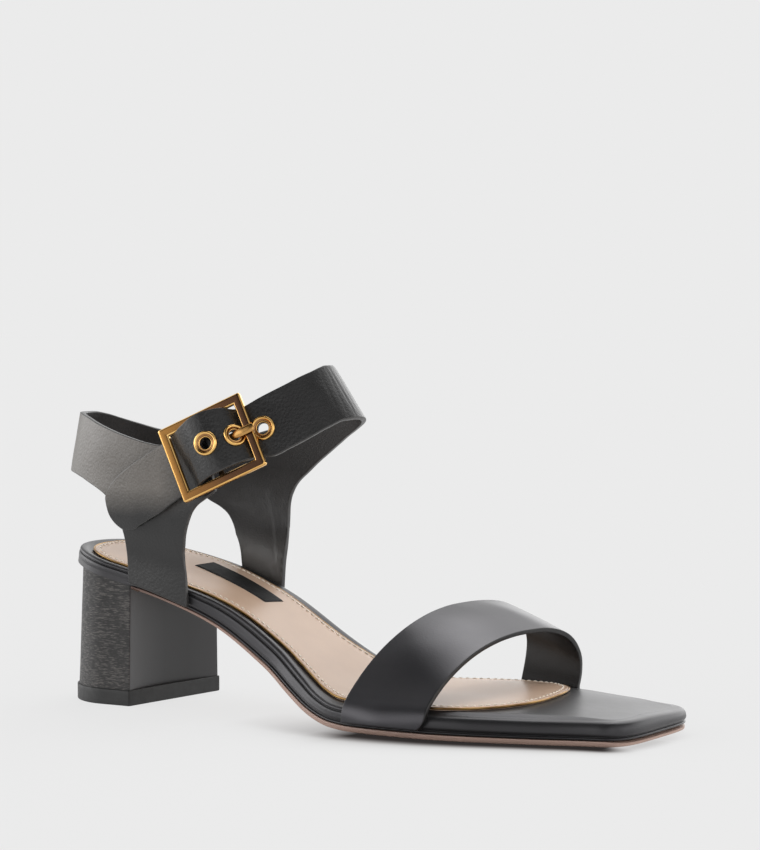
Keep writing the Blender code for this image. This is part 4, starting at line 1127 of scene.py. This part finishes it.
def make_toe_strap():
    rows = []
    clear = GAP + TOE_STRAP_T / 2 + 0.1
    rear_x = lambda y: lerp(*TOE_REAR_X, (y + 42.0) / 86.0)
    front_x = lambda y: lerp(*TOE_FRONT_X, max(0.0, (y + 43.0) / 87.0) ** 1.15)
    first = TOE_STRAP_ROWS[0]
    for t in (0.0, 0.5, 1.0):
        xr, xf = TOE_REAR_X[0], TOE_FRONT_X[0] - 3.0 * (1 - t)
        zr = lerp(float(wall_foot(xr)), first[1] - 4.2, t)
        zf = lerp(float(wall_foot(xf)), first[3] - 4.2, t)
        yr, yf = float(wall_y(xr, -1, clear)), float(wall_y(xf, -1, clear))
        rows.append((xr, lerp(yr, first[0], 0.3 * t), zr, xf, lerp(yf, first[2], 0.3 * t), zf))
    for ry, rz, fy, fz in TOE_STRAP_ROWS:
        rows.append((rear_x(ry), ry, rz, front_x(fy), fy, fz))
    for t in (1.0, 0.5, 0.0):
        xr, xf = TOE_REAR_X[1], TOE_FRONT_X[1]
        zr = lerp(float(wall_foot(xr)), 9.6, t)
        zf = lerp(float(wall_foot(xf)), 9.6, t)
        rows.append((xr, float(wall_y(xr, 1, clear)), zr, xf, float(wall_y(xf, 1, clear)), zf))
    run = [0.0]
    for p, q in zip(rows, rows[1:]):
        run.append(run[-1] + math.dist(p, q))
    curves = [smooth_table([(s, r[c]) for s, r in zip(run, rows)], 1, 3.0) for c in range(6)]
    s = np.linspace(0, run[-1], 230)
    xr, yr, zr, xf, yf, zf = (c(s)[:, None] for c in curves)
    t = np.concatenate([[0, 0.012, 0.03], np.linspace(0.06, 0.94, 40), [0.97, 0.988, 1]])[None, :]
    x, y, z = lerp(xr, xf, t), lerp(yr, yf, t), lerp(zr, zf, t)
    wall = np.where(y < 0, wall_y(x, -1, clear), wall_y(x, 1, clear))
    y = lerp(wall, y, np.where(y < 0, step(4.0, 12.5, z), step(9.5, 12.0, z)))
    z = z + (1.2 - 0.9 * step(20, 36, y)) * np.sin(math.pi * t) * step(14, 30, z)
    grid = np.stack([x, y, z], axis=-1)
    centre = np.array([178.0, 2.0, 12.0])
    return sheet("toe_strap_leather", grid, TOE_STRAP_T, ["toe_strap"], 2 * grid - centre,
                 swell=lambda p: 0.035 * ripple(p, 26.0, 31), skin=SMOOTH, rim_paint=DARK_EDGE)


# ------------------------------------------------------------------ metal
def buckle_axes():
    turn, lean, slope = (math.radians(v) for v in (BUCKLE_TURN, BUCKLE_LEAN, BUCKLE_SLOPE))
    n = np.array([math.sin(turn) * math.cos(lean), -math.cos(turn) * math.cos(lean), math.sin(lean)])
    level = unit(np.cross([0.0, 0.0, 1.0], n))
    rise = np.cross(n, level)
    run = level * math.cos(slope) + rise * math.sin(slope)
    return run, np.cross(n, run), n


RUN, ACROSS, FACE = buckle_axes()


def bronze(name, stops, rough):
    """Lacquered bronze for the flat faces, darker than the bevels' gold as painted shade, and darkening along the
    buckle as a painted reflection.
    """
    mat, nt, b = new_material(name)
    tc = add(nt, "ShaderNodeTexCoord")
    dot = add(nt, "ShaderNodeVectorMath")
    dot.operation = "DOT_PRODUCT"
    dot.inputs[1].default_value = RUN - 0.25 * ACROSS
    nt.links.new(tc.outputs["Object"], dot.inputs[0])
    at = float((np.array(BUCKLE_AT) + SHIFT) @ (RUN - 0.25 * ACROSS)) * MM
    run = spread(nt, dot.outputs["Value"], 0.0, 1.0, at - BUCKLE_L / 2 * MM, at + BUCKLE_L / 2 * MM)
    part = add(nt, "ShaderNodeMath")
    part.operation = "MULTIPLY_ADD"
    part.inputs[1].default_value = 0.1
    nt.links.new(noise(nt, tc.outputs["Object"], 120.0, 2.0, 0.5), part.inputs[0])
    nt.links.new(run, part.inputs[2])
    b.inputs["Metallic"].default_value = 1.0
    nt.links.new(ramp(nt, part.outputs[0], stops), b.inputs["Base Color"])
    nt.links.new(spread(nt, noise(nt, tc.outputs["Object"], 400.0, 2.0), rough - 0.02, rough + 0.03), b.inputs["Roughness"])
    bump(nt, b, [(noise(nt, tc.outputs["Object"], 500.0, 2.0), 0.05, 0.00001)])
    return mat


BRONZE_SHADE = bronze("buckle_bronze_painted_shade", [(0.05, (0.42, 0.21, 0.06)), (0.4, (0.27, 0.13, 0.046)), (0.75, (0.14, 0.069, 0.037)), (1.0, (0.1, 0.052, 0.03))], 0.24)


def from_buckle(local):
    q = np.asarray(local, float)
    return np.array(BUCKLE_AT) + q[..., :1] * RUN + q[..., 1:2] * ACROSS + q[..., 2:3] * FACE


def rounded_rectangle(half_l, half_w, radius, n=8):
    pts = []
    for cx, cy, a0 in ((1, 1, 0), (-1, 1, 90), (-1, -1, 180), (1, -1, 270)):
        for k in range(n + 1):
            a = math.radians(a0 + 90 * k / n)
            pts.append((cx * (half_l - radius) + radius * math.cos(a), cy * (half_w - radius) + radius * math.sin(a)))
    return np.array(pts)


def make_buckle():
    h, w, c = BUCKLE_T / 2, BUCKLE_BAR, 0.5
    #   distance in from the outer edge, height
    section = [(0.0, -h + c), (0.0, 0.0), (0.0, h - c), (0.08, h - c * 0.62), (0.26, h - c * 0.26), (c, h - 0.02), (0.9, h),
               (w / 2, h + 0.02), (w - 0.9, h), (w - c, h - 0.02), (w - 0.26, h - c * 0.26), (w - 0.08, h - c * 0.62), (w, h - c),
               (w, 0.0), (w, -h + c), (w - c, -h), (w / 2, -h), (c, -h)]
    rings = []
    for d, z in section:
        p = rounded_rectangle(BUCKLE_L / 2 - d, BUCKLE_W / 2 - d, max(0.3, 0.75 - 0.15 * d), 8)
        rings.append(from_buckle(np.stack([p[:, 0], p[:, 1], np.full(len(p), z)], axis=1)))
    n = len(rings[0])
    verts = np.concatenate(rings)
    faces = [tuple(f) for f in loft(rings + [rings[0]])]
    total = len(section) * n
    faces = [tuple(i % total for i in f) for f in faces]
    # Flat faces take the darker bronze as painted shade; the rounded bevels take the bright gold as a painted
    # highlight.
    flat = {5, 6, 7, 8, 15, 16}
    mat = [0 if r in flat else 1 for r in range(len(section)) for _ in range(n)]
    ob = put("buckle_square", verts, faces, [BRONZE_SHADE, GOLD_HIGHLIGHT], mat, ["buckle_frame"], 38)
    half = (BUCKLE_W - BUCKLE_BAR) / 2
    line = from_buckle(np.stack([np.zeros(24), np.linspace(-half, half, 24), np.zeros(24)], axis=1))
    around = tube(line, BUCKLE_PIN_R, BUCKLE_PIN_R, FACE, 24, closed=False)
    rod_faces = tube_faces(24, 24)
    put("buckle_pin", around.reshape(-1, 3), rod_faces, [GOLD_PIN_SHADE], None, (), 50)
    return ob


def tube_faces(rows, sides):
    faces = []
    for r in range(rows - 1):
        for c in range(sides):
            d = (c + 1) % sides
            faces.append((r * sides + c, (r + 1) * sides + c, (r + 1) * sides + d, r * sides + d))
    faces.append(tuple(range(sides)))
    faces.append(tuple((rows - 1) * sides + c for c in range(sides))[::-1])
    return faces


def make_prong():
    rest = BUCKLE_T / 2 + GAP + PRONG_R
    edge = BUCKLE_L / 2 - BUCKLE_BAR
    tip = BUCKLE_L / 2 + 1.0
    #   along, height, half width, half height
    rows = [(1.75, 0.1, 0.9, 0.7), (3.2, 0.45, 1.15, 0.7), (7.0, 1.15, 1.35, 0.62), (edge - 3.0, rest - 0.5, 1.5, 0.58),
            (edge, rest - 0.12, 1.6, 0.56), (tip - 2.4, rest - 0.1, 1.6, 0.54), (tip - 0.9, rest - 0.14, 1.5, 0.5),
            (tip - 0.2, rest - 0.18, 1.3, 0.42), (tip, rest - 0.24, 0.9, 0.25)]
    curves = [smooth_table([(r[0], r[c]) for r in rows], 1) for c in range(1, 4)]
    s = np.concatenate([np.linspace(rows[0][0], tip - 1.2, 60), np.linspace(tip - 1.1, tip, 14)])
    line = from_buckle(np.stack([s, np.zeros(len(s)), curves[0](s)], axis=1))
    around = tube(line, curves[1](s), curves[2](s), FACE, 20, closed=False)
    return put("buckle_tongue", around.reshape(-1, 3), tube_faces(len(s), 20), [GOLD_MID], None, ["buckle_prong"], 60)


def make_tab():
    r = BUCKLE_PIN_R + GAP + TAB_T / 2
    line = [(-13.0, -4.75), (-9.0, -4.05), (-6.0, -3.4), (-3.4, -2.5)]
    line += [(r * math.cos(math.radians(a)), r * math.sin(math.radians(a))) for a in range(-105, 151, 17)]
    p = np.array(line)
    run = np.concatenate([[0], np.cumsum(np.linalg.norm(np.diff(p, axis=0), axis=1))])
    s = np.linspace(0, run[-1], 70)
    along = np.stack([smooth_table(list(zip(run, p[:, c])))(s) for c in range(2)], axis=1)
    v = np.linspace(-TAB_W / 2, TAB_W / 2, 21)
    grid = from_buckle(np.stack([np.repeat(along[:, :1], 21, axis=1), np.repeat(v[None, :], len(s), axis=0),
                                 np.repeat(along[:, 1:], 21, axis=1)], axis=-1))
    return sheet("buckle_loop_leather", grid, TAB_T, ["buckle_tab"], 2 * grid - np.array(BUCKLE_AT), bulge=0.12, rim_paint=DARK_EDGE)


def make_eyelet(name, angle):
    p, run, width, out = band_frame(angle)
    base = STRAP_T / 2 + 0.05
    r0, r1 = EYELET_HOLE + 0.2, EYELET_R + (0.25 if name == "eyelet_2" else 0.5)
    #   radius, height above the band's middle
    section = [(r0 - 0.12, -STRAP_T / 2 - 0.1), (r0 - 0.12, base - 0.3), (r0 - 0.04, base + 0.18), (r0 + 0.1, base + 0.3),
               (r0 + 0.26, base + 0.3), (r0 + 0.38, base + 0.2), (r0 + 0.52, base + 0.16), (r1 - 1.42, base + 0.32), (r1 - 1.14, base + 0.62),
               (r1 - 0.92, base + 0.82), (r1 - 0.66, base + 0.9), (r1 - 0.38, base + 0.82), (r1 - 0.14, base + 0.56), (r1 - 0.02, base + 0.26),
               (r1, base + 0.02), (r1 - 0.3, base - 0.02), (r0 + 0.1, base - 0.02), (r0 + 0.02, -STRAP_T / 2 - 0.1)]
    # Rims take the bright gold as a painted highlight; the hole and the hollow round it take brown gold as painted
    # shade.
    shaded_rows = {0, 1, 4, 5, 6, 7}
    n = 72
    a = 2 * math.pi * np.arange(n) / n
    rings = [p + run * (r * np.cos(a))[:, None] + width * (r * np.sin(a))[:, None] + out * h for r, h in section]
    verts = np.concatenate(rings)
    total = len(section) * n
    faces = [tuple(int(i) % total for i in f) for f in loft(rings + [rings[0]])]
    mat = [1 if r in shaded_rows else 0 for r in range(len(section)) for _ in range(n)]
    return put(name + "_ring", verts, faces, [GOLD_HIGHLIGHT, GOLD_SHADE], mat, [name], 50)


# ------------------------------------------------------------------ stage
#   direction, full inside, gone outside (degrees), brightness
SKY_BASE = 0.03
SKY = [((1.00, 0.00, 0.07), 6, 34, 1.17), ((0.86, 0.50, 0.07), 6, 34, 1.13), ((0.50, 0.86, 0.07), 6, 34, 0.83),
       ((0.00, 1.00, 0.07), 6, 34, 1.30), ((-0.50, 0.86, 0.07), 6, 34, 0.57), ((-0.86, 0.50, 0.07), 6, 34, 0.14),
       ((-1.00, 0.00, 0.07), 6, 34, 1.80), ((-0.86, -0.50, 0.07), 6, 34, 2.33), ((-0.50, -0.86, 0.07), 6, 34, 1.60),
       ((0.50, -0.86, 0.07), 6, 34, 1.20), ((0.86, -0.50, 0.07), 6, 34, 0.15), ((0.85, 0.00, 0.53), 8, 36, 0.34),
       ((0.26, 0.81, 0.53), 8, 36, 0.51), ((-0.26, 0.81, 0.53), 8, 36, 0.88), ((-0.85, 0.00, 0.53), 8, 36, 1.15),
       ((0.69, -0.50, 0.53), 8, 36, 0.47), ((0.00, 0.50, 0.87), 8, 34, 1.39), ((-0.25, 0.40, 0.88), 4, 18, 1.89),
       ((-0.08, 0.45, 0.89), 4, 18, 1.42)]
PALE = 0.831                   # brightness of floor and background in the picture
OWN_LIGHT = 0.88               # share of the floor's brightness that no shadow reaches


def sky_on_floor():
    """Mean brightness that the sky gives a level floor."""
    up, turn = np.meshgrid((np.arange(90) + 0.5) / 90, (np.arange(360) + 0.5) * 2 * math.pi / 360, indexing="ij")
    z = np.sqrt(up)
    d = np.stack([np.sqrt(1 - up) * np.cos(turn), np.sqrt(1 - up) * np.sin(turn), z], axis=-1)
    total = np.full(z.shape, SKY_BASE)
    for direction, inner, outer, strength in SKY:
        c = d @ unit(np.array(direction, float))
        total += strength * step(math.cos(math.radians(outer)), math.cos(math.radians(inner)), c)
    return float(total.mean())


#     distance from the forefoot's edge in mm, share of the light that the painted contact shadow leaves on the floor
CONTACT = [(0.0, 0.036), (5.5, 0.036), (7.5, 0.06), (9.2, 0.12), (11.5, 0.25), (13.8, 0.42), (16.0, 0.61), (18.4, 0.76),
           (21.0, 0.84), (23.0, 0.88), (28.0, 0.945), (35.0, 0.98), (45.0, 1.0)]
contact = smooth_table(CONTACT, 1)


def floor_shade(p):
    """Painted contact shadow: share of light left on floor points beside the sole where it rests."""
    ring = plan(stations(None, (TOE_END[0], TOE_END[1] - 0.4), 0, 230, 60, 4.0), 0.4)
    out = np.ones(len(p))
    near = np.flatnonzero((np.abs(p[:, 0] - 170) < 160) & (np.abs(p[:, 1]) < 120))
    for k in np.array_split(near, max(1, len(near) // 2000)):
        gap = np.linalg.norm(p[k][:, None, :] - ring[None, :, :], axis=2)
        i = gap.argmin(axis=1)
        d, at = gap[np.arange(len(k)), i], ring[i]
        d = d * np.interp(at[:, 0], [150.0, 168.0, 190.0, 205.0, 222.0, 240.0], [1.0, 1.08, 1.35, 1.5, 1.6, 2.15])
        deep = contact(np.minimum(d, 45.0))
        front = 0.74 + 0.26 * step(0.0, 18.0, d)
        shade = lerp(deep, front, step(241.0, 247.5, at[:, 0]))
        share = np.interp(at[:, 0], [95.0, 113.0, 125.0, 136.0, 141.0, 150.0], [0.0, 0.12, 0.25, 0.4, 0.62, 1.0])
        out[k] = lerp(1.0, shade, share * step(24.0, -10.0, at[:, 1]))
    return out


def make_stage():
    """Pale floor under a soft studio sky, camera as in the picture."""
    xs = np.concatenate([[-30000.0, -2000.0, -200.0], np.arange(0.0, 300.0, 2.5), [420.0, 2000.0, 30000.0]])
    ys = np.concatenate([[-30000.0, -2000.0, -240.0], np.arange(-110.0, 60.0, 1.0), [160.0, 2000.0, 30000.0]])
    gx, gy = np.meshgrid(xs, ys, indexing="ij")
    p = np.stack([gx.ravel(), gy.ravel()], axis=1)
    idx = np.arange(len(p)).reshape(gx.shape)
    quads = np.stack([idx[:-1, :-1].ravel(), idx[1:, :-1].ravel(), idx[1:, 1:].ravel(), idx[:-1, 1:].ravel()], axis=1)
    me = bpy.data.meshes.new("floor")
    co = (np.column_stack([p, np.zeros(len(p))]) + SHIFT) * MM
    me.from_pydata([tuple(c) for c in co], [], [tuple(int(i) for i in f) for f in quads])
    shade = floor_shade(p)
    # The floor's colour and glow carry this painted contact shadow, tinted warm as a painted reflection of the tan
    # edge.
    painted_shadow = np.stack([shade ** 0.97, shade ** 1.01, shade ** 1.02, np.ones(len(p))], axis=1)
    paper = PALE * (1 - OWN_LIGHT) / sky_on_floor()
    for label, scale in (("paper", paper), ("glow", 1.0)):
        layer = me.attributes.new(label, "FLOAT_COLOR", "POINT")
        layer.data.foreach_set("color", (painted_shadow * np.array([scale, scale, scale, 1.0])).astype(np.float32).ravel())
    floor = bpy.data.objects.new("floor", me)
    bpy.context.scene.collection.objects.link(floor)
    mat, nt, b = new_material("floor_paper")
    for label, socket in (("paper", "Base Color"), ("glow", "Emission Color")):
        layer = add(nt, "ShaderNodeAttribute")
        layer.attribute_name = label
        nt.links.new(layer.outputs["Color"], b.inputs[socket])
    b.inputs["Roughness"].default_value = 1.0
    b.inputs["Specular IOR Level"].default_value = 0.0
    b.inputs["Emission Strength"].default_value = PALE * OWN_LIGHT
    me.materials.append(mat)

    world = bpy.data.worlds.new("studio")
    bpy.context.scene.world = world
    world.use_nodes = True
    nt = world.node_tree
    nt.nodes.clear()
    tc = add(nt, "ShaderNodeTexCoord")
    total = None
    for direction, inner, outer, strength in SKY:
        dot = add(nt, "ShaderNodeVectorMath")
        dot.operation = "DOT_PRODUCT"
        dot.inputs[1].default_value = unit(np.array(direction, float))
        nt.links.new(tc.outputs["Generated"], dot.inputs[0])
        m = add(nt, "ShaderNodeMapRange")
        m.interpolation_type = "SMOOTHSTEP"
        m.inputs["From Min"].default_value = math.cos(math.radians(outer))
        m.inputs["From Max"].default_value = math.cos(math.radians(inner))
        m.inputs["To Min"].default_value = 0.0
        m.inputs["To Max"].default_value = strength
        nt.links.new(dot.outputs["Value"], m.inputs["Value"])
        s = add(nt, "ShaderNodeMath")
        s.operation = "ADD"
        s.inputs[0].default_value = SKY_BASE
        if total is not None:
            nt.links.new(total, s.inputs[0])
        nt.links.new(m.outputs["Result"], s.inputs[1])
        total = s.outputs[0]
    path = add(nt, "ShaderNodeLightPath")
    mix = add(nt, "ShaderNodeMix")
    mix.data_type = "FLOAT"
    mix.inputs["B"].default_value = PALE
    nt.links.new(path.outputs["Is Camera Ray"], mix.inputs["Factor"])
    nt.links.new(total, mix.inputs["A"])
    bg = add(nt, "ShaderNodeBackground")
    bg.inputs["Color"].default_value = (1.0, 1.0, 1.0, 1.0)
    nt.links.new(mix.outputs["Result"], bg.inputs["Strength"])
    out = add(nt, "ShaderNodeOutputWorld")
    nt.links.new(bg.outputs["Background"], out.inputs["Surface"])

    cam = bpy.data.cameras.new("camera")
    cam.lens = 113.04
    cam.sensor_width = 36.0
    cam.sensor_fit = "AUTO"
    cam.clip_start, cam.clip_end = 0.05, 100.0
    ob = bpy.data.objects.new("camera", cam)
    bpy.context.scene.collection.objects.link(ob)
    fwd = Vector((-0.51887, 0.85404, -0.03732)).normalized()
    up = Vector((-0.01763, 0.03296, 0.99930))
    right = fwd.cross(up).normalized()
    up = right.cross(fwd)
    m = Matrix.Identity(4)
    at = (np.array([646.4, -842.4, 144.9]) + SHIFT) * MM
    for r in range(3):
        m[r][0], m[r][1], m[r][2], m[r][3] = right[r], up[r], -fwd[r], at[r]
    ob.matrix_world = m
    bpy.context.scene.camera = ob
    bpy.context.scene.view_settings.view_transform = "Standard"
    bpy.context.scene.view_settings.look = "None"


make_outsole()
make_footbed()
make_sock()
make_foil()
make_stitches()
make_patch()
make_heel()
make_lift()
make_toe_strap()
make_upper()
make_buckle()
make_prong()
make_tab()
for ring_name, ring_angle in EYELET_ANGLES:
    make_eyelet(ring_name, ring_angle)
make_stage()
